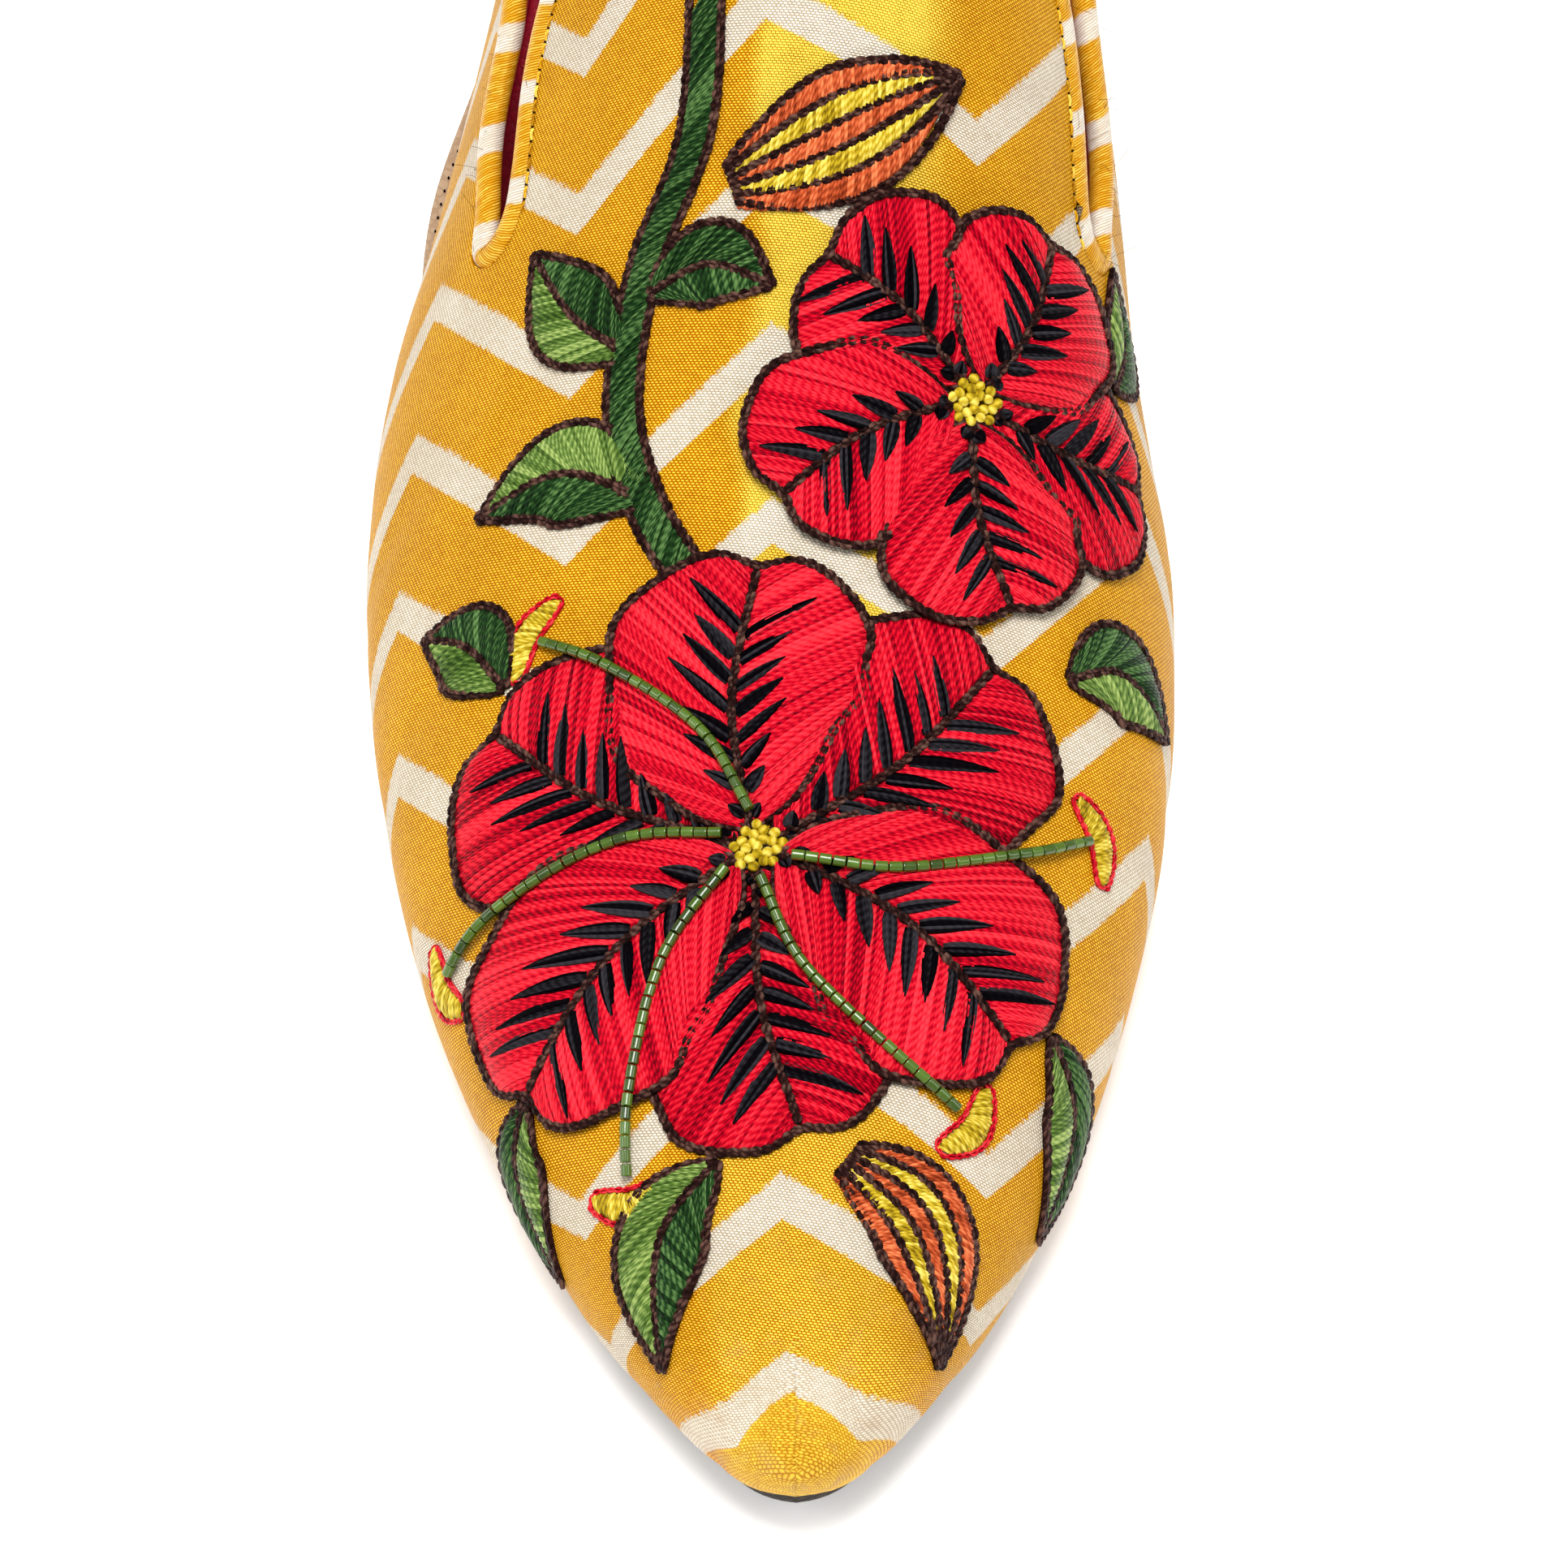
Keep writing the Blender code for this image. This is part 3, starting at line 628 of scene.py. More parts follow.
@dataclass
class Shell:
    """Vertices, faces and face-corner maps of one mesh under way."""

    points: list = field(default_factory=list)
    faces: list = field(default_factory=list)
    maps: dict = field(default_factory=dict)
    count: int = 0

    def add(self, points: Array, faces: Array, **maps: Array) -> None:
        """Append a block of vertices with its faces and one map value for each vertex.

        Args:
            points: Vertices, in millimetres along the last.
            faces: Vertex numbers of the block's faces, all with the same number of corners.
            maps: A two-column array for each map, by the map's name.
        """
        self.points.append(points.reshape(-1, 3))
        self.faces.append(np.asarray(faces) + self.count)
        for name, values in maps.items():
            self.maps.setdefault(name, []).append(values.reshape(-1, 2))
        self.count += len(self.points[-1])

    def finish(self, name: str, last: Last, finish: bpy.types.Material) -> bpy.types.Object:
        """Write the mesh as a smooth object of the scene.

        Args:
            name: Name of the object.
            last: The last, whose frame the points are in.
            finish: Material of the object.

        Returns:
            The new object, linked to the scene.
        """
        points = last.world(np.concatenate(self.points))
        mesh = bpy.data.meshes.new(name)
        loops = np.concatenate([block.ravel() for block in self.faces])
        sizes = np.concatenate([np.full(len(block), block.shape[1]) for block in self.faces])
        mesh.vertices.add(len(points))
        mesh.vertices.foreach_set("co", points.astype(np.float32).ravel())
        mesh.loops.add(len(loops))
        mesh.loops.foreach_set("vertex_index", loops.astype(np.int32))
        mesh.polygons.add(len(sizes))
        starts = np.concatenate([[0], np.cumsum(sizes)[:-1]])
        mesh.polygons.foreach_set("loop_start", starts.astype(np.int32))
        mesh.update(calc_edges=True)
        for map_name, blocks in self.maps.items():
            layer = mesh.uv_layers.new(name=map_name)
            values = np.concatenate(blocks)[loops]
            layer.data.foreach_set("uv", values.astype(np.float32).ravel())
        mesh.validate()
        mesh.shade_smooth()
        mesh.materials.append(finish)
        made = bpy.data.objects.new(name, mesh)
        bpy.context.scene.collection.objects.link(made)
        return made


def grid_faces(rows: int, columns: int, closed: bool = False) -> Array:
    """Quads of a grid of vertices.

    Args:
        rows: Number of rows of vertices.
        columns: Number of vertices in a row.
        closed: Whether each row's last vertex joins its first.

    Returns:
        Vertex numbers, four for each face.
    """
    numbers = np.arange(rows * columns).reshape(rows, columns)
    if closed:
        numbers = np.concatenate([numbers, numbers[:, :1]], axis=1)
    return np.stack([numbers[:-1, :-1], numbers[:-1, 1:], numbers[1:, 1:], numbers[1:, :-1]],
                    axis=-1).reshape(-1, 4)


def spaced(start: float, end: float, pitch: float) -> Array:
    """Even steps from start to end, both included, no longer than a pitch."""
    return np.linspace(start, end, max(int(math.ceil(abs(end - start) / pitch)), 1) + 1)


def tube(shell: Shell, path: Array, normals: Array, radius: Union[float, Array], around: int = 14,
         flat: float = 1.0, ends: bool = True) -> None:
    """Add a round tube along a path; the cloth map holds girth and length.

    Args:
        shell: The mesh to add to.
        path: Points of the middle line.
        normals: A direction roughly square to the path at each point, where the girth starts.
        radius: Radius of the tube, or one for each point.
        around: Corners of the tube's section.
        flat: Height of the section over its breadth.
        ends: Whether the ends are closed with a low dome.
    """
    tangent = unit(np.gradient(path, axis=0))
    side = unit(np.cross(tangent, normals))
    top = np.cross(side, tangent)
    radius = np.broadcast_to(np.asarray(radius, float), (len(path),)).copy()
    lengths = run_lengths(path)
    if ends:
        dome = np.array([0.02, 0.6, 0.9])
        reach = np.array([0.0, 0.35, 0.7]) * radius[0]
        path = np.concatenate([path[:1] - tangent[:1] * reach[::-1, None], path,
                               path[-1:] + tangent[-1:] * reach[:, None]])
        side, top = (np.pad(way, ((3, 3), (0, 0)), "edge") for way in (side, top))
        radius = np.concatenate([radius[0] * dome, radius, radius[-1] * dome[::-1]])
        lengths = np.concatenate([lengths[:1] - reach[::-1], lengths, lengths[-1:] + reach])
    turn = np.linspace(0.0, 2.0 * math.pi, around + 1)
    ring = (side[:, None] * np.cos(turn)[None, :, None]
            + top[:, None] * (flat * np.sin(turn))[None, :, None])
    points = path[:, None] + ring * radius[:, None, None]
    cloth = stack(turn[None] * np.mean(radius), lengths[:, None])
    shell.add(points, grid_faces(len(path), around + 1), cloth=cloth)


def weld(made: bpy.types.Object, distance: float = 0.001) -> None:
    """Merge the doubled vertices of a mesh's seams, at a distance in millimetres.

    Args:
        made: The object.
        distance: Distance, in millimetres.
    """
    mesh = bmesh.new()
    mesh.from_mesh(made.data)
    bmesh.ops.remove_doubles(mesh, verts=mesh.verts, dist=distance * MM)
    mesh.to_mesh(made.data)
    mesh.free()


def solidify(made: bpy.types.Object, thickness: float) -> None:
    """Give an open skin a thickness inward, in millimetres.

    Args:
        made: The object.
        thickness: Thickness, in millimetres.
    """
    wall = made.modifiers.new("wall", "SOLIDIFY")
    wall.thickness = thickness * MM
    wall.offset = -1.0


def dress(made: bpy.types.Object, slot: str, *nodes: str) -> bpy.types.Object:
    """Tie a piece to the shoe's body and hide the CAD nodes that it stands for.

    Args:
        made: The piece.
        slot: Record slot; not used.
        nodes: CAD nodes that it stands for.

    Returns:
        The piece.
    """
    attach(made, ROOT)
    if nodes:
        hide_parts(*nodes)
    log.info("%s: %d faces", made.name, len(made.data.polygons))
    return made


def stitch(shell: Shell, place: Array, normal: Array, radius: float, tone: float) -> None:
    """Add one short stitch of an even tone along a line.

    Args:
        shell: The mesh to add to.
        place: Points of the stitch.
        normal: The skin's normal at each point.
        radius: Radius of the thread.
        tone: Its tone, from 0 to 1.
    """
    tube(shell, place, normal, radius, 6, ends=False)
    half_way = np.full(len(shell.points[-1]), 0.5)
    shell.maps.setdefault("tone", []).append(stack(tone, half_way))


# ---------------------------------------------------------------- finishes

Plug = Union["Wire", float, tuple, bpy.types.NodeSocket]


class Net:
    """The nodes of one material."""

    def __init__(self, name: str) -> None:
        """Start an empty material with a Principled shader.

        Args:
            name: Name of the material.
        """
        self.material = bpy.data.materials.new(name)
        self.material.use_nodes = True
        self.tree = self.material.node_tree
        self.shader = self.tree.nodes["Principled BSDF"]

    def node(self, kind: str, settings: Optional[dict] = None, **plugs: Plug) -> bpy.types.Node:
        """Add any node.

        Args:
            kind: The node's type, without its ShaderNode prefix.
            settings: Values of the node's own properties, set first.
            plugs: Values or links of its sockets, by name with _ for a space, or s and a number.

        Returns:
            The new node.
        """
        made = self.tree.nodes.new("ShaderNode" + kind)
        for name, value in (settings or {}).items():
            if name == "stops":
                self._set_stops(made, value)
            else:
                setattr(made, name, value)
        for name, plug in plugs.items():
            number = name[1:]
            key = int(number) if number.isdigit() else name.replace("_", " ")
            self.plug(made.inputs[key], plug)
        return made

    def _set_stops(self, ramp: bpy.types.Node, stops: Sequence[tuple]) -> None:
        """Set a colour ramp's stops, each a place and a colour.

        Args:
            ramp: The ramp.
            stops: Places and colours.
        """
        elements = ramp.color_ramp.elements
        while len(elements) < len(stops):
            elements.new(0.5)
        for element, (place, colour) in zip(elements, stops):
            element.position = place
            element.color = (*colour, 1.0)

    def plug(self, spot: bpy.types.NodeSocket, plug: Plug) -> None:
        """Link a socket, or set its value.

        Args:
            spot: The socket.
            plug: A value, or the socket to link.
        """
        if isinstance(plug, Wire):
            plug = plug.socket
        if isinstance(plug, bpy.types.NodeSocket):
            self.tree.links.new(plug, spot)
        elif isinstance(plug, tuple) and len(plug) == 3 and spot.type == "RGBA":
            spot.default_value = (*plug, 1.0)
        else:
            spot.default_value = plug

    def map(self, name: MapName) -> tuple["Wire", "Wire"]:
        """The two values of a UV map.

        Args:
            name: Name of the map.

        Returns:
            Its first and its second value.
        """
        uv = self.node("UVMap", {"uv_map": name.value}).outputs["UV"]
        parts = self.node("SeparateXYZ", s0=uv)
        return Wire(self, parts.outputs["X"]), Wire(self, parts.outputs["Y"])

    def place(self) -> bpy.types.NodeSocket:
        """The piece's own coordinates, in metres."""
        return self.node("TexCoord").outputs["Object"]

    def point(self, x: Plug, y: Plug, z: Plug = 0.0) -> bpy.types.NodeSocket:
        """A vector from three values."""
        return self.node("CombineXYZ", s0=x, s1=y, s2=z).outputs["Vector"]

    def noise(self, where: Plug, scale: float, detail: float = 2.0, rough: float = 0.5) -> "Wire":
        """Smooth noise from 0 to 1.

        Args:
            where: Place that the noise is read at.
            scale: Its fineness.
            detail: Number of finer layers.
            rough: Strength of each finer layer.

        Returns:
            The noise.
        """
        made = self.node("TexNoise", {"noise_dimensions": "3D"}, Vector=where, Scale=scale,
                         Detail=detail, Roughness=rough)
        return Wire(self, made.outputs["Fac"])

    def mix(self, share: Plug, first: Plug, second: Plug,
            blend: str = "MIX") -> bpy.types.NodeSocket:
        """Two colours mixed by a share.

        Args:
            share: Share of the second colour.
            first: The first colour.
            second: The second colour.
            blend: How they are mixed.

        Returns:
            The mixed colour.
        """
        made = self.node("Mix", {"data_type": "RGBA", "blend_type": blend, "clamp_result": False},
                         s0=share, s6=first, s7=second)
        return made.outputs[2]

    def ramp(self, value: Plug, stops: Sequence[tuple]) -> bpy.types.NodeSocket:
        """A colour that follows a value."""
        return self.node("ValToRGB", {"stops": stops}, s0=value).outputs["Color"]

    def shaded(self, colour: Plug, value: Plug, stops: Sequence[tuple]) -> bpy.types.NodeSocket:
        """A colour multiplied by shades that follow a value."""
        return self.mix(1.0, colour, self.ramp(value, stops), "MULTIPLY")

    def bump(self, height: Plug, depth: float) -> bpy.types.NodeSocket:
        """A normal from a height from 0 to 1 that stands a depth in millimetres."""
        return self.node("Bump", Distance=depth * MM, Height=height).outputs["Normal"]

    def set(self, **plugs: Plug) -> bpy.types.Material:
        """Plug the shader's sockets, by name with _ for a space, and return the material.

        Args:
            plugs: Values or links of the sockets.

        Returns:
            The material.
        """
        for name, plug in plugs.items():
            self.plug(self.shader.inputs[name.replace("_", " ")], plug)
        return self.material


class Wire:
    """A value in a material's nodes, written and combined as a number is."""

    def __init__(self, net: Net, socket: bpy.types.NodeSocket) -> None:
        """Wrap a socket of a net."""
        self.net = net
        self.socket = socket

    def _math(self, operation: str, *plugs: Plug, clamp: bool = False) -> "Wire":
        """Add a Math node.

        Args:
            operation: Name of the operation.
            plugs: Its values.
            clamp: Whether the result is kept between 0 and 1.

        Returns:
            The result.
        """
        sockets = {f"s{i}": plug for i, plug in enumerate(plugs)}
        made = self.net.node("Math", {"operation": operation, "use_clamp": clamp}, **sockets)
        return Wire(self.net, made.outputs[0])

    def __add__(self, other: Plug) -> "Wire":
        """Sum."""
        return self._math("ADD", self, other)

    __radd__ = __add__

    def __sub__(self, other: Plug) -> "Wire":
        """Difference."""
        return self._math("SUBTRACT", self, other)

    def __rsub__(self, other: Plug) -> "Wire":
        """Difference from a number."""
        return self._math("SUBTRACT", other, self)

    def __mul__(self, other: Plug) -> "Wire":
        """Product."""
        return self._math("MULTIPLY", self, other)

    __rmul__ = __mul__

    def __truediv__(self, other: Plug) -> "Wire":
        """Quotient."""
        return self._math("DIVIDE", self, other)

    def __abs__(self) -> "Wire":
        """Size without sign."""
        return self._math("ABSOLUTE", self)

    def floor(self) -> "Wire":
        """Whole part."""
        return self._math("FLOOR", self)

    def part(self) -> "Wire":
        """Part after the point, from 0 to 1 for negative values too."""
        return self - self.floor()

    def power(self, exponent: float) -> "Wire":
        """Power."""
        return self._math("POWER", self, exponent)

    def clamp(self) -> "Wire":
        """The value kept between 0 and 1."""
        return self._math("ADD", self, 0.0, clamp=True)

    def least(self, other: Plug) -> "Wire":
        """The smaller of two values."""
        return self._math("MINIMUM", self, other)

    def most(self, other: Plug) -> "Wire":
        """The larger of two values."""
        return self._math("MAXIMUM", self, other)

    def soft_step(self, low: float, high: float) -> "Wire":
        """0 under low and 1 over high, smooth between.

        Args:
            low: Value where the step starts.
            high: Value where it ends.

        Returns:
            The step.
        """
        made = self.net.node("MapRange", {"interpolation_type": "SMOOTHSTEP"}, Value=self,
                             From_Min=low, From_Max=high)
        return Wire(self.net, made.outputs["Result"])

    def window(self, rise: tuple[float, float], fall: tuple[float, float]) -> "Wire":
        """1 between two soft edges and 0 outside them."""
        return self.soft_step(*rise) * (1.0 - self.soft_step(*fall))

    def tent(self) -> "Wire":
        """0 at whole values and 1 half-way between them."""
        return 1.0 - abs(self.part() * 2.0 - 1.0)

    def hash(self, other: Plug = 0.0) -> "Wire":
        """A fixed random value from 0 to 1 for each whole value.

        Args:
            other: A second whole value.

        Returns:
            The random value.
        """
        made = self.net.node("TexWhiteNoise", {"noise_dimensions": "3D"},
                             Vector=self.net.point(self, other))
        return Wire(self.net, made.outputs["Value"])


def rgb(red: int, green: int, blue: int) -> tuple[float, float, float]:
    """A display colour from 0 to 255 as scene-linear values."""
    return tuple((c / 255.0 / 12.92) if c <= 10 else ((c / 255.0 + 0.055) / 1.055) ** 2.4
                 for c in (red, green, blue))


def blend(weights: Sequence[float], *values: Wire) -> Wire:
    """Sum of values, each times its weight.

    Args:
        weights: A weight for each value.
        values: The values.

    Returns:
        The sum.
    """
    total = values[0] * weights[0]
    for value, weight in zip(values[1:], weights[1:]):
        total = total + value * weight
    return total


class YarnWithPaintedLight(NamedTuple):
    """Colours of one dyed yarn: deep tone and painted shade in its hollows, its body, and a painted
    highlight where it catches the light.
    """

    deep_and_hollow_shade: tuple
    body: tuple
    glint: tuple

    def colour(self, net: Net, tone: Plug, glint: Plug) -> bpy.types.NodeSocket:
        """The yarn's colour by tone, darkest with painted shade in the hollows, with its painted
        highlight over it.
        """
        return net.mix(glint, net.mix(tone, self.deep_and_hollow_shade, self.body), self.glint)


@dataclass(frozen=True)
class Weave:
    """A satin weave: rows of small floats, each row set a little beside the one before."""

    across: float = 0.46
    along: float = 0.28
    lean: float = 0.16
    offset: float = 0.39

    def height(self, u: Wire, v: Wire) -> tuple[Wire, Wire]:
        """Height of the floats from 0 to 1, and a fixed random value for each float.

        Args:
            u: Cloth coordinate across.
            v: Cloth coordinate along.

        Returns:
            The height and the random value.
        """
        row = (v / self.along + u * (self.lean / self.along)).floor()
        y = (v / self.along + u * (self.lean / self.along)).part() - 0.5
        column = u / self.across + row * self.offset
        x = column.part() - 0.5
        dome = (1.0 - 4.0 * x * x) * (1.0 - 4.0 * y * y)
        return dome, column.floor().hash(row)


@dataclass(frozen=True)
class Zigzag:
    """The woven zigzag band of the cloth, repeated along the shoe.

    The band hangs from its peak on the shoe's middle line, falls by the inner slope to a valley
    and climbs again by the outer slope.
    """

    first: float = 13.0
    pitch: float = 18.15
    half: float = 22.0
    fall: float = 0.70
    climb: float = 0.93
    tilt: float = 0.09
    breadth: float = 0.26
    lean: float = 0.048
    shift: float = 0.3
    step: float = 0.3
    jag_row: float = 0.28
    jag: float = 0.03
    sway: float = 0.05
    soft: float = 0.018

    def mask(self, net: Net, u: Wire, v: Wire) -> Wire:
        """1 on the pale band and 0 on the golden ground.

        Args:
            net: Nodes of the material.
            u: Cloth coordinate across.
            v: Cloth coordinate along.

        Returns:
            The mask.
        """
        across = u + v * self.lean + self.shift
        side = abs((across / self.step).floor() * self.step)
        inner = side.least(self.half)
        outer = self.half - abs((side - self.half).most(0.0) - self.half)
        drop = inner * self.fall - outer * self.climb - across * self.tilt
        band = ((v - self.first + drop) / self.pitch + self.breadth).part()
        jag = ((across / self.step).floor().hash((v / self.jag_row).floor()) - 0.5) * self.jag
        wave = (net.noise(net.point(u, v), 0.14, 1.0) - 0.5) * self.sway
        band = band + jag + wave
        return band.window((-self.soft, self.soft),
                           (self.breadth - self.soft, self.breadth + self.soft))


@dataclass(frozen=True)
class Satin:
    """Golden satin, plain or with the pale zigzag band and a sheen painted along the ridge."""

    name: str
    banded: bool
    gold: YarnWithPaintedLight = YarnWithPaintedLight(rgb(152, 80, 0), rgb(218, 142, 2), rgb(255, 214, 66))
    pale: YarnWithPaintedLight = YarnWithPaintedLight(rgb(172, 152, 122), rgb(226, 213, 192), rgb(250, 244, 234))
    # Painted sheen: the lemon colour of the highlight painted along the ridge, and where it fades
    # in and out.
    lemon: tuple = rgb(246, 220, 84)
    stain: tuple = rgb(176, 140, 100)
    sheen_rise: tuple = (-10.0, -7.0)
    sheen_fall: tuple = (7.0, 14.0)
    sheen_sway: float = 9.0
    toe_sheen: float = 0.45
    glint_level: float = 0.46
    spread: float = 0.44
    pale_spread: float = 0.14
    tone_parts: tuple = (0.8, 0.25, 0.1)
    toe_matt: float = 40.0
    sheen_full_from: float = 110.0
    stain_run: float = 30.0
    tip_calm: tuple = (7.0, 17.0)
    tip_grain: float = 0.4

    def painted_sheen(self, net: Net, u: Wire, v: Wire, cloud: Wire) -> Wire:
        """Share of the painted sheen, a highlight painted along the ridge of the shoe, from 0 to 1.

        Args:
            net: Nodes of the material.
            u: Cloth coordinate across.
            v: Cloth coordinate along.
            cloud: Slow noise.

        Returns:
            The share.
        """
        drift = (net.noise(net.point(v, 0.0), 0.05, 2.0) - 0.5) * self.sheen_sway
        silk = (u + drift).window(self.sheen_rise, self.sheen_fall)
        rise = v.soft_step(self.toe_matt, self.sheen_full_from) * (1.0 - self.toe_sheen)
        silk = silk * (self.toe_sheen + rise)
        return (silk * (cloud * 0.9 + 0.5)).clamp()

    def make(self) -> bpy.types.Material:
        """Build the material; it reads the cloth map, in millimetres.

        Returns:
            The material.
        """
        net = Net(self.name)
        u, v = net.map(MapName.CLOTH)
        dome, chance = Weave().height(u, v)
        where = net.point(u, v)
        cloud = net.noise(where, 0.09, 3.0)
        slub = net.noise(net.point(u * 0.25, v * 2.2), 1.0, 2.0)
        tone = blend(self.tone_parts, dome, chance, slub).clamp()
        # Painted sheen: a highlight painted down the ridge of the banded satin, weaker at the toe.
        silk = self.painted_sheen(net, u, v, cloud) if self.banded else 0.0
        if self.banded:
            # The cloth is drawn tight over the tip of the toe, so its grain shows less there.
            tip = (u * u + v * v).power(0.5).soft_step(*self.tip_calm)
            dome = 0.5 + (dome - 0.5) * (self.tip_grain + tip * (1.0 - self.tip_grain))
        # Painted highlight: glints on the floats, widened under the painted sheen, where the floats
        # catch the light along their whole length.
        light = (0.8 + chance * 0.6) * 1.9
        glint = ((dome - self.glint_level + silk * self.spread) * light).clamp()
        # Painted shade in the weave's hollows and painted highlights on its floats, mixed with
        # random tone.
        gold = net.mix(tone, self.gold.deep_and_hollow_shade, self.gold.body)
        colour = net.mix(glint, gold, net.mix(silk, self.gold.glint, self.lemon))
        if self.banded:
            band = Zigzag().mask(net, u, v)
            glint = ((dome - self.glint_level + silk * self.pale_spread) * light).clamp()
            pale = self.pale.colour(net, tone, glint)
            worn = net.noise(where, 0.28, 4.0).soft_step(0.48, 0.75)
            worn = worn * (1.0 - v / self.stain_run).clamp() * 0.4
            colour = net.mix(worn, net.mix(band, colour, pale), self.stain)
        colour = net.shaded(colour, cloud, ((0.3, (0.91, 0.89, 0.86)), (0.7, (1.05, 1.05, 1.05))))
        rough = 0.5 - dome * 0.10 + cloud * 0.06
        return net.set(Base_Color=colour, Roughness=rough, Normal=net.bump(dome + slub * 0.4, 0.09),
                       Specular_IOR_Level=0.15, Specular_Tint=self.gold.glint)


@dataclass(frozen=True)
class CordSatin:
    """Satin rolled on the bias over a cord, with fine ribs round it and pale bands."""

    name: str = "binding_satin_finish"
    rib: float = 0.29
    gold: YarnWithPaintedLight = YarnWithPaintedLight(rgb(160, 92, 0), rgb(234, 168, 10), rgb(255, 228, 110))
    pale: YarnWithPaintedLight = YarnWithPaintedLight(rgb(184, 166, 142), rgb(236, 227, 214), rgb(254, 250, 244))
    tone_parts: tuple = (0.85, 0.2)
    relief_parts: tuple = (0.6, 0.4)
    band_period: float = 10.5
    band_share: float = 0.26
    band_soft: float = 0.04
    band_lean: float = 0.28
    lean: float = 0.46

    def make(self) -> bpy.types.Material:
        """Build the material; it reads girth and length from the cloth map.

        Returns:
            The material.
        """
        net = Net(self.name)
        girth, length = net.map(MapName.CLOTH)
        warp = (net.noise(net.point(girth * 0.8, length), 1.2, 2.0) - 0.5) * 0.25
        line = (length + girth * self.lean + warp) / self.rib
        chance = line.floor().hash((girth / 1.3 + line.floor() * 0.37).floor())
        # Painted shade in the ribs' hollows and painted highlights on their tops, with random tone
        # from rib to rib.
        tone = blend(self.tone_parts, line.tent(), chance).clamp()
        glint = ((line.tent() + chance * 0.5 - 0.85) * 1.3).clamp()
        slow = net.noise(net.point(0.0, length), 0.05, 1.0) * 0.45
        edge = (net.noise(net.point(girth, length), 1.1, 2.0) - 0.5) * 0.05
        band = ((length + girth * self.band_lean) / self.band_period + slow + edge).part()
        pale = band.window((0.0, self.band_soft),
                           (self.band_share, self.band_share + self.band_soft))
        yarns = [yarn_look.colour(net, tone, glint) for yarn_look in (self.gold, self.pale)]
        colour = net.mix(pale, *yarns)
        return net.set(Base_Color=colour, Roughness=0.4 - chance * 0.08,
                       Normal=net.bump(blend(self.relief_parts, line.tent(), chance), 0.07),
                       Specular_IOR_Level=0.4, Specular_Tint=self.gold.glint)


@dataclass(frozen=True)
class Silk:
    """Silk thread: each stitch has its own tone, and painted shade darkens it towards its ends."""

    name: str
    low: tuple
    mid: tuple
    high: tuple
    rough: float = 0.36
    ply: float = 0.5
    shine: float = 0.35
    lay: float = 0.95
    relief_parts: tuple = (0.6, 0.4)

    def make(self) -> bpy.types.Material:
        """Build the material; the tone map holds each stitch's tone and the place along it.

        Returns:
            The material.
        """
        net = Net(self.name)
        tone, along = net.map(MapName.TONE)
        u, v = net.map(MapName.CLOTH)
        fibre = net.noise(net.point(u * 7.0, v * 0.6), 1.0, 2.0)
        # The plies' twist is painted into the colour as light and dark dashes, as light falls on
        # them, and also makes the bump; the fibres vary in tone at random.
        twist = (v / self.lay + u * 2.4 + tone * 7.3 + fibre * 0.6).tent()
        value = (tone + (fibre - 0.5) * 0.3 + (twist - 0.5) * self.ply).clamp()
        colour = net.ramp(value, ((0.0, self.low), (0.5, self.mid), (1.0, self.high)))
        # Painted shade: each stitch is darkened towards its ends.
        ends = (along * (1.0 - along) * 9.0).clamp().power(0.5)
        colour = net.shaded(colour, ends, ((0.0, (0.4, 0.36, 0.36)), (0.8, (1.0, 1.0, 1.0))))
        return net.set(Base_Color=colour, Roughness=self.rough + fibre * 0.1,
                       Normal=net.bump(blend(self.relief_parts, twist, fibre), 0.07),
                       Specular_IOR_Level=self.shine, Specular_Tint=self.high)


@dataclass(frozen=True)
class Glass:
    """Opaque coloured glass of the tube beads."""

    name: str = "green_bead_glass"
    low: tuple = rgb(30, 52, 8)
    mid: tuple = rgb(66, 94, 14)
    high: tuple = rgb(88, 120, 34)
    tone_parts: tuple = (0.6, 0.4)

    def make(self) -> bpy.types.Material:
        """Build the material; each bead's tone is in the tone map.

        Returns:
            The material.
        """
        net = Net(self.name)
        tone, _ = net.map(MapName.TONE)
        streak = net.noise(net.place(), 900.0, 2.0)
        value = blend(self.tone_parts, tone, streak).clamp()
        colour = net.ramp(value, ((0.1, self.low), (0.5, self.mid), (0.95, self.high)))
        return net.set(Base_Color=colour, Roughness=0.2 + streak * 0.1, Coat_Weight=0.3,
                       Normal=net.bump(streak, 0.01), Specular_IOR_Level=0.6)


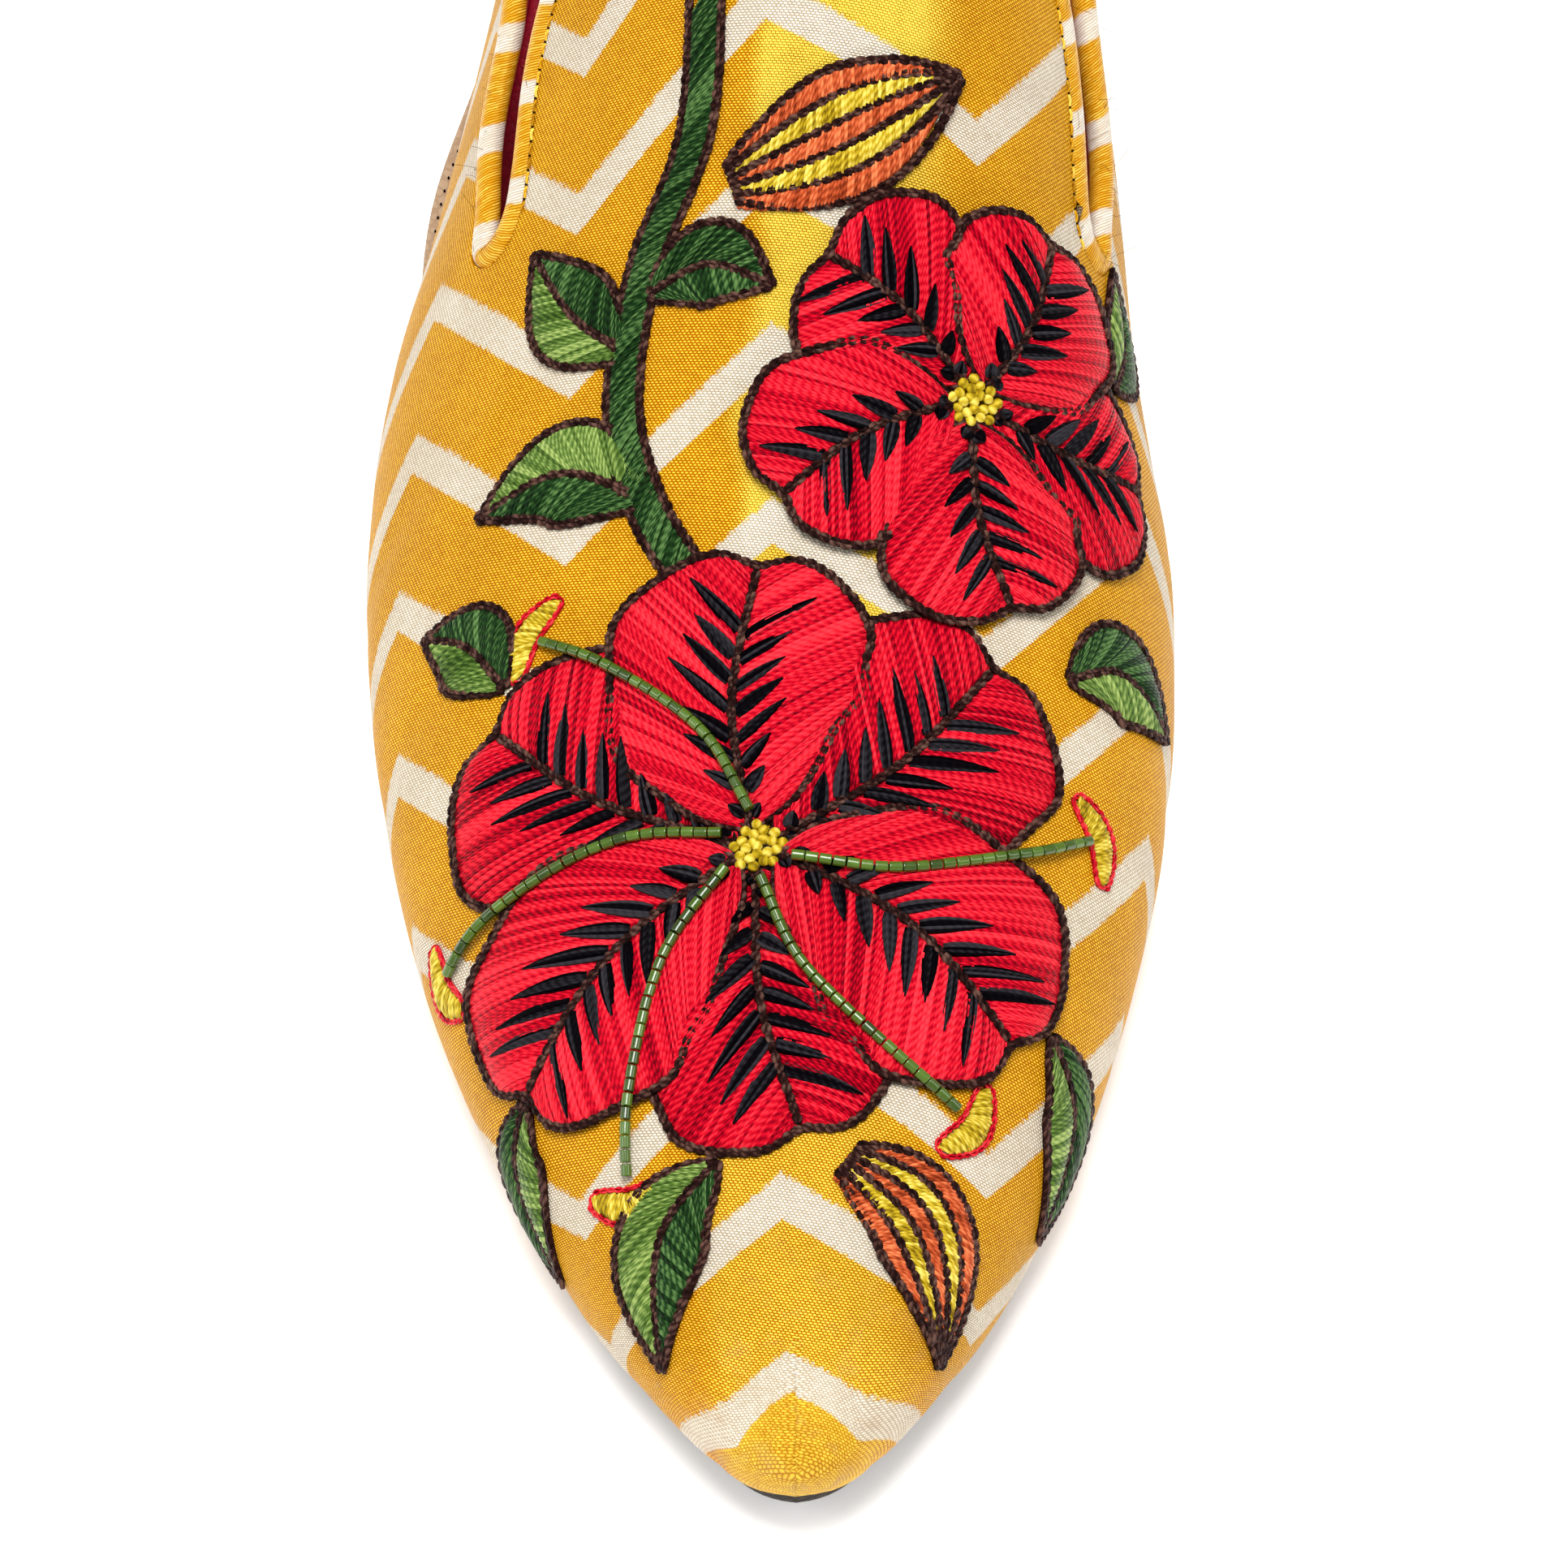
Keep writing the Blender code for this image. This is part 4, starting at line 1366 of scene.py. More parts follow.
@dataclass(frozen=True)
class Hide:
    """Leather with a fine grain, for the outsole and the sock."""

    name: str
    colour: tuple
    dark: tuple
    grain: float = 1100.0
    rough: float = 0.5
    shine: float = 0.3
    tone_parts: tuple = (0.3, 0.7)
    relief_parts: tuple = (0.7, 0.3)
    # Painted shadow at the toe: its share, its colour, and where it fades out, in metres along Y.
    toe_shadow: float = 0.0
    toe_shadow_colour: tuple = rgb(28, 22, 20)
    toe_shadow_start: float = -0.078
    toe_shadow_end: float = -0.106

    def make(self) -> bpy.types.Material:
        """Build the material from the piece's own coordinates; the toe end is darkened as a painted
        shadow.

        Returns:
            The material.
        """
        net = Net(self.name)
        where = net.place()
        cells = net.node("TexVoronoi", {"feature": "DISTANCE_TO_EDGE"}, Vector=where,
                         Scale=self.grain)
        crack = Wire(net, cells.outputs["Distance"]).soft_step(0.0, 0.25)
        cloud = net.noise(where, 45.0, 4.0, 0.6)
        fine = net.noise(where, self.grain * 2.0, 2.0)
        value = blend(self.tone_parts, crack, cloud).clamp()
        colour = net.mix(value, self.dark, self.colour)
        # Painted shadow: the toe end of the piece is darkened towards near black, where the shadow
        # under the toe falls.
        if self.toe_shadow:
            toe = Wire(net, net.node("SeparateXYZ", s0=where).outputs["Y"])
            share = (1.0 - toe.soft_step(self.toe_shadow_end, self.toe_shadow_start)) * self.toe_shadow
            colour = net.mix(share, colour, self.toe_shadow_colour)
        return net.set(Base_Color=colour, Roughness=self.rough + cloud * 0.12 - crack * 0.05,
                       Normal=net.bump(blend(self.relief_parts, crack, fine), 0.06),
                       Specular_IOR_Level=self.shine)


@dataclass(frozen=True)
class Twill:
    """Burgundy lining cloth."""

    name: str = "lining_twill"
    colour: tuple = rgb(230, 32, 68)
    dark: tuple = rgb(166, 12, 42)
    tone_parts: tuple = (0.5, 0.2, 0.4)

    def make(self) -> bpy.types.Material:
        """Build the material; it reads the cloth map, in millimetres.

        Returns:
            The material.
        """
        net = Net(self.name)
        u, v = net.map(MapName.CLOTH)
        dome, chance = Weave(0.5, 0.44, 0.3, 0.5).height(u, v)
        cloud = net.noise(net.point(u, v), 0.12, 3.0)
        # Painted shade in the weave's hollows, mixed with random tone and slow clouds.
        tone = blend(self.tone_parts, dome, chance, cloud).clamp()
        return net.set(Base_Color=net.mix(tone, self.dark, self.colour),
                       Roughness=0.72 - cloud * 0.1, Normal=net.bump(dome, 0.06), Sheen_Weight=0.2)


@dataclass(frozen=True)
class Rubber:
    """Black moulded rubber with a fine matt texture."""

    name: str = "heel_rubber_finish"
    dark: tuple = rgb(28, 24, 22)
    worn: tuple = rgb(52, 46, 42)

    def make(self) -> bpy.types.Material:
        """Build the material from the piece's own coordinates.

        Returns:
            The material.
        """
        net = Net(self.name)
        where = net.place()
        speck = net.noise(where, 2600.0, 2.0)
        cloud = net.noise(where, 90.0, 3.0)
        colour = net.mix(cloud, self.dark, self.worn)
        return net.set(Base_Color=colour, Roughness=0.7 + speck * 0.15,
                       Normal=net.bump(speck, 0.05))


# ---------------------------------------------------------------- upper and its binding


@dataclass
class Rim:
    """The cut edge of the upper, from one wing's foot round slits and tongue to the other's."""

    points: Array
    normals: Array
    outward: Array
    lengths: Array
    marks: dict

    def beside(self, reach: float, sink: float) -> Array:
        """A line beside the edge.

        Args:
            reach: Distance beyond the edge; negative lies on the upper.
            sink: Depth under the skin.

        Returns:
            Points of the line.
        """
        return self.points + self.outward * reach - self.normals * sink


@dataclass
class UpperShape:
    """Where the skin of the upper lies: vamp, tongue, wings and the two slits between them."""

    last: Last
    slit_foot: float = 127.7
    slit_width: float = 7.2
    tongue_end: float = 159.0
    crown: float = 0.24
    crown_power: float = 2.4
    draw: float = 0.2
    draw_power: float = 5.0
    wing_end: float = 174.6
    wing_least: float = 1.6
    wing_blend: float = 1.0
    quarter: float = 30.0
    row_pitch: float = 1.25
    rim_pitch: float = 0.6
    dip_run: float = 12.0
    wing_columns: int = 40
    arc: int = 12
    tongue_columns: int = 36

    def __post_init__(self) -> None:
        """Set the curves of the top line."""
        self.tongue = Track.pair(TOP_LINES, "tongue_")
        self.slit = Track.pair(TOP_LINES, "slit_")
        self.wing_top = Track.pair(TOP_LINES, "wing_")
        self.foot_row = self.slit_foot + 0.5 * self.slit_width

    def wing_edge(self, side: Side, back: float) -> float:
        """Skin distance from the ridge to a wing's edge: beside the slit, then down to the sole.

        Args:
            side: The side.
            back: Station.

        Returns:
            The skin distance.
        """
        slit = float(self.tongue[side](back) + self.slit[side](back))
        fall = self.last.skin_at_height(side, back, float(self.wing_top[side](back)))
        soft = 0.5 * (slit + fall + math.hypot(slit - fall, self.wing_blend))
        return min(soft, float(self.last.edge(side, back)) - self.wing_least)

    def half_row(self, side: Side, back: float, dip: float) -> Array:
        """Stations and skin distances across one side of a vamp row, from sole to ridge.

        Args:
            side: The side.
            back: Station of the row.
            dip: Share of the slit's round foot that the row follows, 1 at the slits' foot.

        Returns:
            A row of stations and one of signed skin distances.
        """
        edge = float(self.last.edge(side, back))
        tongue = float(self.tongue[side](back))
        share = min(1.0, edge / (tongue + self.slit_width + self.quarter))
        slit = self.slit_width * share
        slit += (self.wing_edge(side, self.foot_row) - tongue - slit) * dip
        tongue *= share
        turn = np.linspace(0.0, math.pi, self.arc + 1)[1:-1]
        skins = np.concatenate([
            np.linspace(edge, tongue + slit, self.wing_columns + 1),
            tongue + slit * (0.5 + 0.5 * np.cos(turn)),
            np.linspace(tongue, 0.0, self.tongue_columns + 1),
        ])
        backs = np.full_like(skins, back)
        arc = slice(self.wing_columns + 1, self.wing_columns + self.arc)
        backs[arc] -= 0.5 * slit * dip * np.sin(turn)
        skins *= self.last.edge(side, backs) / edge
        return np.stack([backs, side.value * skins])

    @staticmethod
    def across(halves: Iterator[Array]) -> Array:
        """One full row from its outer and inner halves, which meet on the ridge."""
        outer, inner = halves
        return np.concatenate([outer, inner[:, -2::-1]], axis=1)

    def tongue_row(self, back: float) -> Array:
        """One full row of the tongue, whose middle runs ahead of its corners.

        Args:
            back: Station of the row.

        Returns:
            A row of stations and one of signed skin distances.
        """
        shares = 1.0 - np.arange(self.tongue_columns + 1) / self.tongue_columns
        level = (back - self.foot_row) / (self.tongue_end - self.foot_row)
        ahead = 1.0 - self.crown * shares ** self.crown_power
        here = self.foot_row + (back - self.foot_row) * ahead
        draw = shares * (1.0 - self.draw * level ** self.draw_power)
        return self.across(np.stack([here, side.value * self.tongue[side](here) * draw])
                           for side in Side)

    def wing_row(self, side: Side, back: float) -> Array:
        """One row of a wing, from the outer to the inner side of the shoe.

        Args:
            side: The side.
            back: Station of the row.

        Returns:
            A row of stations and one of signed skin distances.
        """
        skins = side.value * np.linspace(float(self.last.edge(side, back)),
                                         self.wing_edge(side, back), self.wing_columns + 1)
        return np.stack([np.full_like(skins, back), skins[::-side.value]])

    def patches(self) -> tuple[list[Array], Array]:
        """Stations and skins as grids, of vamp, tongue and wings, and along the rim.

        Returns:
            The four grids, and the places along the rim.
        """
        toe_turn = math.acos(1.0 - self.last.toe_round_end / self.last.toe_radius)
        toe = self.last.toe_radius * (1.0 - np.cos(np.linspace(0.0, toe_turn, 8)))
        rest = spaced(self.last.toe_round_end, self.foot_row, self.row_pitch)[1:]
        backs = np.concatenate([toe, rest])
        dips = np.clip((backs - self.foot_row) / self.dip_run + 1.0, 0.0, 1.0)
        vamp = np.stack([self.across(self.half_row(side, back, dip) for side in Side)
                         for back, dip in zip(backs.tolist(), dips.tolist())], axis=1)
        foot = vamp[:, -1]
        end, wing, slit = foot.shape[1] - 1, self.wing_columns, self.wing_columns + self.arc
        tongue = np.stack([foot[:, slit:end - slit + 1]] + [
            self.tongue_row(back)
            for back in spaced(self.foot_row, self.tongue_end, self.row_pitch)[1:]], axis=1)
        outer, inner = (
            np.stack([foot[:, ends]] + [
                self.wing_row(side, back)
                for back in spaced(self.foot_row, self.wing_end, self.row_pitch)[1:]], axis=1)
            for side, ends in zip(Side, (slice(0, wing + 1), slice(end - wing, None))))
        rim = np.concatenate([
            outer[:, ::-1, -1], foot[:, wing + 1:slit], tongue[:, :, 0], tongue[:, -1, 1:-1],
            tongue[:, ::-1, -1], foot[:, end - slit + 1:end - wing], inner[:, :, 0]], axis=1)
        return [vamp, tongue, outer, inner], rim

    def rim(self) -> Rim:
        """The rim, evenly spaced and lightly smoothed.

        Returns:
            The rim.
        """
        _, rim = self.patches()
        lengths = run_lengths(self.last.surface(*rim)[0])
        rim = sample(spaced(0.0, float(lengths[-1]), self.rim_pitch), lengths, rim.T).T
        kernel = np.array([1.0, 2.0, 3.0, 2.0, 1.0]) / 9.0
        for values in rim:
            values[2:-2] = np.convolve(values, kernel, "valid")
        points, normals = self.last.surface(*rim)
        outward = unit(np.cross(normals, np.gradient(points, axis=0)))
        middle = int(np.argmax(points[:, 2]))
        runs = run_lengths(points)
        foot = middle - int(np.argmax(rim[0, middle::-1] < self.slit_foot + 0.4 * self.slit_width))
        marks = {"tongue": float(runs[middle]), "foot": float(runs[foot])}
        return Rim(points, normals, outward, runs, marks)


@dataclass(frozen=True)
class Fold:
    """A soft trough pulled in the satin, in cloth coordinates, in millimetres and degrees."""

    across: float
    along: float
    heading: float
    reach: float
    breadth: float
    depth: float

    def sag(self, cloth: Array) -> Array:
        """Depth of the trough at places of the cloth.

        Args:
            cloth: Cloth coordinates.

        Returns:
            A depth for each place.
        """
        turn = math.radians(self.heading)
        x, y = cloth[..., 0] - self.across, cloth[..., 1] - self.along
        run = y * math.cos(turn) + x * math.sin(turn)
        aside = x * math.cos(turn) - y * math.sin(turn)
        return self.depth * np.exp(-(run / self.reach) ** 2 - (aside / self.breadth) ** 2)


@dataclass
class Upper:
    """The satin skin and the lining inside it."""

    FOLDS: ClassVar[tuple[Fold, ...]] = (
        Fold(-9.0, 20.0, -12.0, 8.0, 1.8, 0.28), Fold(8.5, 19.0, 12.0, 8.0, 1.8, 0.26),
        Fold(-1.0, 26.0, 4.0, 9.0, 1.6, 0.12), Fold(15.0, 14.0, 50.0, 6.0, 1.6, 0.22),
        Fold(-16.0, 13.0, -50.0, 6.0, 1.6, 0.22),
        Fold(-35.0, 118.0, 28.0, 9.0, 2.0, 0.32), Fold(-29.0, 114.0, -18.0, 9.0, 1.8, 0.26),
        Fold(32.0, 117.0, -10.0, 9.0, 2.0, 0.30), Fold(38.0, 121.0, -42.0, 9.0, 1.8, 0.30),
        Fold(-46.0, 88.0, 62.0, 11.0, 2.6, 0.26), Fold(48.0, 84.0, -62.0, 11.0, 2.6, 0.26),
        Fold(-14.0, 148.0, -24.0, 11.0, 2.6, 0.20), Fold(14.0, 150.0, 24.0, 11.0, 2.6, 0.20),
        Fold(-52.0, 112.0, 48.0, 12.0, 2.4, 0.24), Fold(54.0, 110.0, -48.0, 12.0, 2.4, 0.24),
        Fold(-24.0, 8.0, -78.0, 9.0, 1.8, 0.18), Fold(23.0, 8.0, 78.0, 9.0, 1.8, 0.18),
    )

    shape: UpperShape
    satin: float = 0.9
    lining_sink: float = 1.05
    lining: float = 0.6

    def skin(self, name: str, finish: bpy.types.Material, sink: float, thick: float,
             slot: str, *nodes: str) -> bpy.types.Object:
        """Build one layer of the upper.

        Args:
            name: Name of the piece.
            finish: Its material.
            sink: Depth of its outer face under the upper's skin.
            thick: Thickness of the layer.
            slot: Record slot.
            nodes: CAD nodes that it stands for.

        Returns:
            The piece.
        """
        shell = Shell()
        grids, _ = self.shape.patches()
        for backs, skins in grids:
            points, normals = self.shape.last.surface(backs, skins)
            cloth = self.shape.last.drape(backs, skins)
            sag = sum(fold.sag(cloth) for fold in self.FOLDS)[..., None]
            points = self.shape.last.settle(points - normals * (sink + sag), backs, skins)
            shell.add(points, grid_faces(*backs.shape), cloth=cloth)
        made = shell.finish(name, self.shape.last, finish)
        weld(made, 0.02)
        solidify(made, thick)
        return dress(made, slot, *nodes)

    def build(self) -> None:
        """Build satin and lining."""
        self.skin("satin_upper", Satin("banded_satin", True).make(), 0.0, self.satin, "satin",
                  "upper")
        self.skin("upper_lining", Twill().make(), self.lining_sink, self.lining, "insole_leather")


@dataclass
class Binding:
    """The rolled satin binding, a dark tube of painted shade in its ditch, its ditch stitches and
    loose fibres.
    """

    rim: Rim
    last: Last
    radius: float = 1.4
    lap: float = 0.15
    sink: float = 0.85
    stitch_pitch: float = 1.5
    stitch_length: float = 1.15
    stitch_radius: float = 0.17
    stitch_bow: float = 0.14
    stitch_sink: float = 0.05
    # Radius of the dark tube of painted shade in the ditch.
    ditch: float = 0.26
    fibres: int = 90
    fibre_radius: float = 0.028
    fibre_sink: float = 0.9

    def build(self) -> None:
        """Build the cord, its stitches and its loose fibres."""
        path = self.rim.beside(self.radius - self.lap, self.sink)
        shell = Shell()
        tube(shell, path, self.rim.normals, self.radius, 20, 0.94)
        dress(shell.finish("rolled_binding", self.last, CordSatin().make()), "binding_satin",
              "binding")
        self.stitches()
        self.fuzz(path)

    def fuzz(self, path: Array) -> None:
        """Fine loose fibres that stand off the cord, each bent at random.

        Args:
            path: The cord's middle line.
        """
        rng = np.random.default_rng(SEED + 3)
        shell = Shell()
        steps = np.linspace(0.0, 1.0, 6)[:, None]
        for spot in rng.integers(2, len(path) - 2, self.fibres):
            normal, outward = self.rim.normals[spot], self.rim.outward[spot]
            turn = rng.uniform(0.1, 0.9) * math.pi
            way = outward * math.cos(turn) + normal * math.sin(turn)
            start = path[spot] + way * self.radius * self.fibre_sink
            lean = unit(rng.normal(size=(2, 3)) + 0.6 * normal) * rng.uniform(0.8, 2.2)
            fibre = start + lean[0] * steps + lean[1] * steps * steps
            tube(shell, fibre, np.cross(lean[0], lean[1])[None].repeat(6, 0), self.fibre_radius, 3,
                 ends=False)
        dress(shell.finish("binding_fibres", self.last, GOLD_SILK.make()), "binding_satin")

    def stitches(self) -> None:
        """A dark tube in the ditch beside the cord, as painted shade, and the short stitches in it.
        """
        reach = self.rim.marks["tongue"] - self.rim.marks["foot"]
        inner = np.abs(self.rim.lengths - self.rim.marks["tongue"]) < reach
        # Painted shade: a dark silk tube laid along the ditch, where shade falls beside the cord.
        groove = Shell()
        tube(groove, self.rim.beside(-0.22, 0.16)[inner], self.rim.normals[inner], self.ditch, 8,
             ends=False)
        dress(groove.finish("binding_ditch", self.last, DITCH_SHADE_SILK.make()), "binding_satin")
        line = np.concatenate([self.rim.beside(-0.3, -0.02), self.rim.normals], axis=1)
        shell = Shell()
        rng = np.random.default_rng(SEED)
        bow = np.sin(np.linspace(0.0, math.pi, 5))[:, None]
        for start in np.arange(-reach, reach, self.stitch_pitch) + self.rim.marks["tongue"]:
            along = np.linspace(start, start + self.stitch_length, 5)
            place, normal = np.split(sample(along, self.rim.lengths, line), 2, axis=1)
            place = place + normal * (self.stitch_bow * bow - self.stitch_sink)
            stitch(shell, place, normal, self.stitch_radius, rng.random())
        dress(shell.finish("ditch_stitches", self.last, GOLD_SILK.make()), "binding_satin")


BROWN_SILK = Silk("brown_silk", rgb(14, 6, 6), rgb(44, 24, 22), rgb(104, 74, 64), 0.5,
                  shine=0.15)
# Dark brown silk for the tube of painted shade in the ditch.
DITCH_SHADE_SILK = Silk("ditch_silk", rgb(40, 18, 4), rgb(96, 54, 12), rgb(176, 116, 28), 0.6,
                  shine=0.1)
SOCK_SILK = Silk("sock_silk", rgb(86, 4, 20), rgb(140, 12, 38), rgb(214, 70, 96))
GOLD_SILK = Silk("gold_silk", rgb(150, 96, 4), rgb(222, 160, 20), rgb(250, 214, 90))


# ---------------------------------------------------------------- soles and heel


@dataclass
class Plate:
    """A plate that follows the underside of the last, with rounded edges."""

    FLAT: ClassVar[Array] = np.linspace(0.0, 1.0, 15)[1:-1]
    STRIP: ClassVar[tuple] = ((1.0, 2.6), (1.1, 1.2), (1.5, 0.4), (2.4, 0.1), (5.0, 0.1))

    last: Last
    set_back: float = 0.4
    toe_set: float = 0.7
    toe_run: float = 40.0
    waist_start: float = 112.0
    waist_end: float = 165.0
    waist_run: float = 30.0
    proud_lateral: float = 1.3
    proud_medial: float = 0.9
    seat_proud: float = 0.4
    flare_lateral: float = 2.0
    flare_medial: float = 0.6
    flare_middle: float = 148.0
    flare_reach: float = 17.0
    wall: float = 2.0
    insole_set: float = 0.7
    insole_seat_set: float = 0.9
    insole_run: float = 9.0
    wing_end: float = 174.6
    prick_start: float = 128.0
    prick_pitch: float = 1.15
    prick_inset: float = 0.9
    prick_sink: float = 0.02
    prick_half: float = 0.2
    prick_radius: float = 0.13
    crown_run: float = 14.0
    strip_start: float = 60.0
    seam_start: float = 118.0
    seam_inset: float = 4.2
    seam_pitch: float = 3.2
    seam_stitch: float = 2.4
    seam_radius: float = 0.2
    seam_bow: float = 0.16
    station_pitch: float = 2.0

    def stations(self) -> Array:
        """Stations of the plates, closer together round toe and seat.

        Returns:
            The stations.
        """
        last = self.last
        turn = math.acos(1.0 - last.toe_round_end / last.toe_radius)
        toe = last.toe_radius * (1.0 - np.cos(np.linspace(0.0, turn, 9)))
        middle = spaced(last.toe_round_end, last.seat_centre, self.station_pitch)[1:]
        seat = np.sin(np.linspace(0.0, 0.5 * math.pi, 25))[1:]
        seat = last.seat_centre + (last.length - last.seat_centre) * seat
        return np.concatenate([toe, middle, seat])

    def outsole_inset(self, side: Side, back: Array) -> Array:
        """The outsole sits under the upper at the toe and stands a little proud at the waist.

        Args:
            side: The side.
            back: Stations, back from the toe's tip.

        Returns:
            An inset for each station.
        """
        waist, seat = (np.clip((back - start) / self.waist_run, 0.0, 1.0)
                       for start in (self.waist_start, self.waist_end))
        toe = np.maximum(1.0 - back / self.toe_run, 0.0)
        full, flare = ((self.proud_lateral, self.flare_lateral) if side is Side.LATERAL
                       else (self.proud_medial, self.flare_medial))
        bump = np.maximum(1.0 - ((back - self.flare_middle) / self.flare_reach) ** 2, 0.0) ** 2
        proud = (full + (self.seat_proud - full) * seat) * waist + flare * bump
        return self.set_back + self.toe_set * toe - proud

    def insole_inset(self, _: Side, back: Array) -> Array:
        """The insole lies inside the upper's wall and fills the footbed behind the wings."""
        free = smooth((back - self.wing_end) / self.insole_run - self.last.gap)
        return (self.wall + self.insole_set) * (1.0 - free) + self.insole_seat_set * free

    def edge(self, side: Side, back: Array, inset: Array) -> Array:
        """Plan points of the plate's edge."""
        return self.last.plan(side, back, self.last.tuck[side](back) + inset)

    def build(self, name: str, inset: Callable[[Side, Array], Array], low: float, high: float,
              round_low: float, round_high: float, finish: bpy.types.Material, slot: str,
              node: str, crown: float = 0.0) -> None:
        """Build one plate.

        Args:
            name: Name of the piece.
            inset: Inset of its edge from the feather edge, by side and station.
            low: Height of its underside over the last's sole line.
            high: Height of its top.
            round_low: Radius of the lower edge.
            round_high: Radius of the upper edge.
            finish: Its material.
            slot: Record slot.
            node: CAD node that it stands for.
            crown: How far the top swells in its middle.
        """
        backs = self.stations()
        left, right = (self.edge(side, backs, inset(side, backs)) for side in Side)
        half = 0.5 * np.linalg.norm(right - left, axis=1)
        across = unit(right - left)
        swell = crown * (1.0 - (1.0 - np.minimum(half / self.crown_run, 1.0)) ** 2)
        # The rounded edge from the underside to the top, as insets and heights.
        turns = [(math.sin(turn), math.cos(turn)) for turn in np.linspace(0.0, 0.5 * math.pi, 5)]
        edge = [(round_low * (1.0 - rise), low + round_low * (1.0 - run)) for rise, run in turns]
        edge += [(round_high * (1.0 - run), high - round_high * (1.0 - rise))
                 for rise, run in turns]
        steps = [across * np.minimum(set_in, 0.98 * half)[:, None] for set_in, _ in edge]
        outer = [(left + step, height, 0.0) for step, (_, height) in zip(steps, edge)]
        inner = [(right - step, height, 0.0) for step, (_, height) in zip(steps, edge)][::-1]
        rows = outer + [(outer[-1][0] + (inner[0][0] - outer[-1][0]) * share, high,
                         math.sin(math.pi * share) * swell) for share in self.FLAT]
        rows += inner + [(inner[-1][0] + (outer[0][0] - inner[-1][0]) * share, low, 0.0)
                         for share in self.FLAT]
        grid = np.stack([stack(spot[:, 0], spot[:, 1], self.last.sole(spot[:, 1]) + height + lift)
                         for spot, height, lift in rows], axis=1)
        solid(name, self.last, finish, grid, grid[..., :2], slot, node, closed=True)

    def standing(self, side: Side, back: Array, inset: Array, height: float) -> Array:
        """Points beside the plate's edge at a height over the last's sole line.

        Args:
            side: The side.
            back: Stations, back from the toe's tip.
            inset: Insets from the feather edge.
            height: The height.

        Returns:
            The points.
        """
        spots = self.edge(side, back, inset)
        spots[:, 2] = self.last.sole(spots[:, 1]) + height
        return spots

    def pricks(self) -> None:
        """Small dark stitch holes along the top of the outsole's free edge at the waist."""
        shell = Shell()
        for side in Side:
            backs = np.arange(self.prick_start, self.wing_end, self.prick_pitch)
            inset = self.outsole_inset(side, backs) + self.prick_inset
            for spot in self.standing(side, backs, inset, self.last.outsole - self.prick_sink):
                along = np.linspace(-self.prick_half, self.prick_half, 3)
                dash = spot + along[:, None] * np.array([0.0, 1.0, 0.0])
                tube(shell, dash, UP.repeat(3, 0), self.prick_radius, 6, 0.7)
        dress(shell.finish("sole_pricks", self.last, BROWN_SILK.make()), "sole_leather")

    def sock_stitches(self, level: float) -> None:
        """A row of stitches round the free part of the insole's sock.

        Args:
            level: Height of the sock over the last's sole line.
        """
        backs = self.stations()
        backs = backs[(backs > self.seam_start) & (backs < self.last.length - 0.4)]
        sides = [self.edge(side, backs, self.insole_inset(side, backs)) for side in Side]
        outline = resampled(np.concatenate([sides[0], sides[1][::-1]])[:, :2], 0.5)
        tangent = unit(np.gradient(outline, axis=0))
        line = resampled(outline - left_of(tangent) * self.seam_inset, 0.5)
        lengths = run_lengths(line)
        rng = np.random.default_rng(SEED + 5)
        shell = Shell()
        bow = np.sin(np.linspace(0.0, math.pi, 5))
        for start in np.arange(0.0, lengths[-1] - self.seam_pitch, self.seam_pitch):
            along = np.linspace(start, start + self.seam_stitch, 5)
            x, y = sample(along, lengths, line).T
            place = stack(x, y, self.last.sole(y) + level + self.seam_bow * bow)
            stitch(shell, place, UP.repeat(5, 0), self.seam_radius, rng.random())
        dress(shell.finish("sock_stitches", self.last, SOCK_SILK.make()), "insole_leather")

    def lasting_strip(self) -> None:
        """The lining's lasted edge, turned in over the outsole and under the insole."""
        shell = Shell()
        backs = np.linspace(self.strip_start, self.wing_end, 90)
        for side in Side:
            grid = np.stack([
                self.standing(side, backs, np.full_like(backs, inset), self.last.outsole + height)
                for inset, height in self.STRIP])
            shell.add(grid, grid_faces(*grid.shape[:2]), cloth=grid[..., :2])
        made = shell.finish("lasting_strip", self.last, Twill().make())
        solidify(made, 0.08)
        dress(made, "insole_leather")

    def build_all(self) -> None:
        """Build lasting strip, stitch holes, sock stitches, outsole and insole."""
        top = self.last.outsole
        self.lasting_strip()
        self.pricks()
        self.sock_stitches(top + self.last.gap + self.last.insole - 0.02)
        self.build("leather_outsole", self.outsole_inset, 0.0, top, 0.7, 0.45,
                   Hide("sole_hide", rgb(186, 162, 136), rgb(140, 112, 86), shine=0.12,
                        toe_shadow=0.95).make(),
                   "sole_leather", "outsole")
        low = top + self.last.gap
        self.build("padded_insole", self.insole_inset, low, low + self.last.insole, 0.4, 1.0,
                   Hide("sock_hide", rgb(184, 20, 52), rgb(134, 12, 38), 900.0, 0.55).make(),
                   "insole_leather", "insole", 0.5)


def face_out(made: bpy.types.Object) -> None:
    """Turn a closed mesh's faces outward.

    Args:
        made: The object.
    """
    mesh = bmesh.new()
    mesh.from_mesh(made.data)
    bmesh.ops.dissolve_degenerate(mesh, edges=mesh.edges, dist=1e-7)
    bmesh.ops.recalc_face_normals(mesh, faces=mesh.faces)
    if mesh.calc_volume(signed=True) < 0.0:
        bmesh.ops.reverse_faces(mesh, faces=mesh.faces)
    mesh.to_mesh(made.data)
    mesh.free()


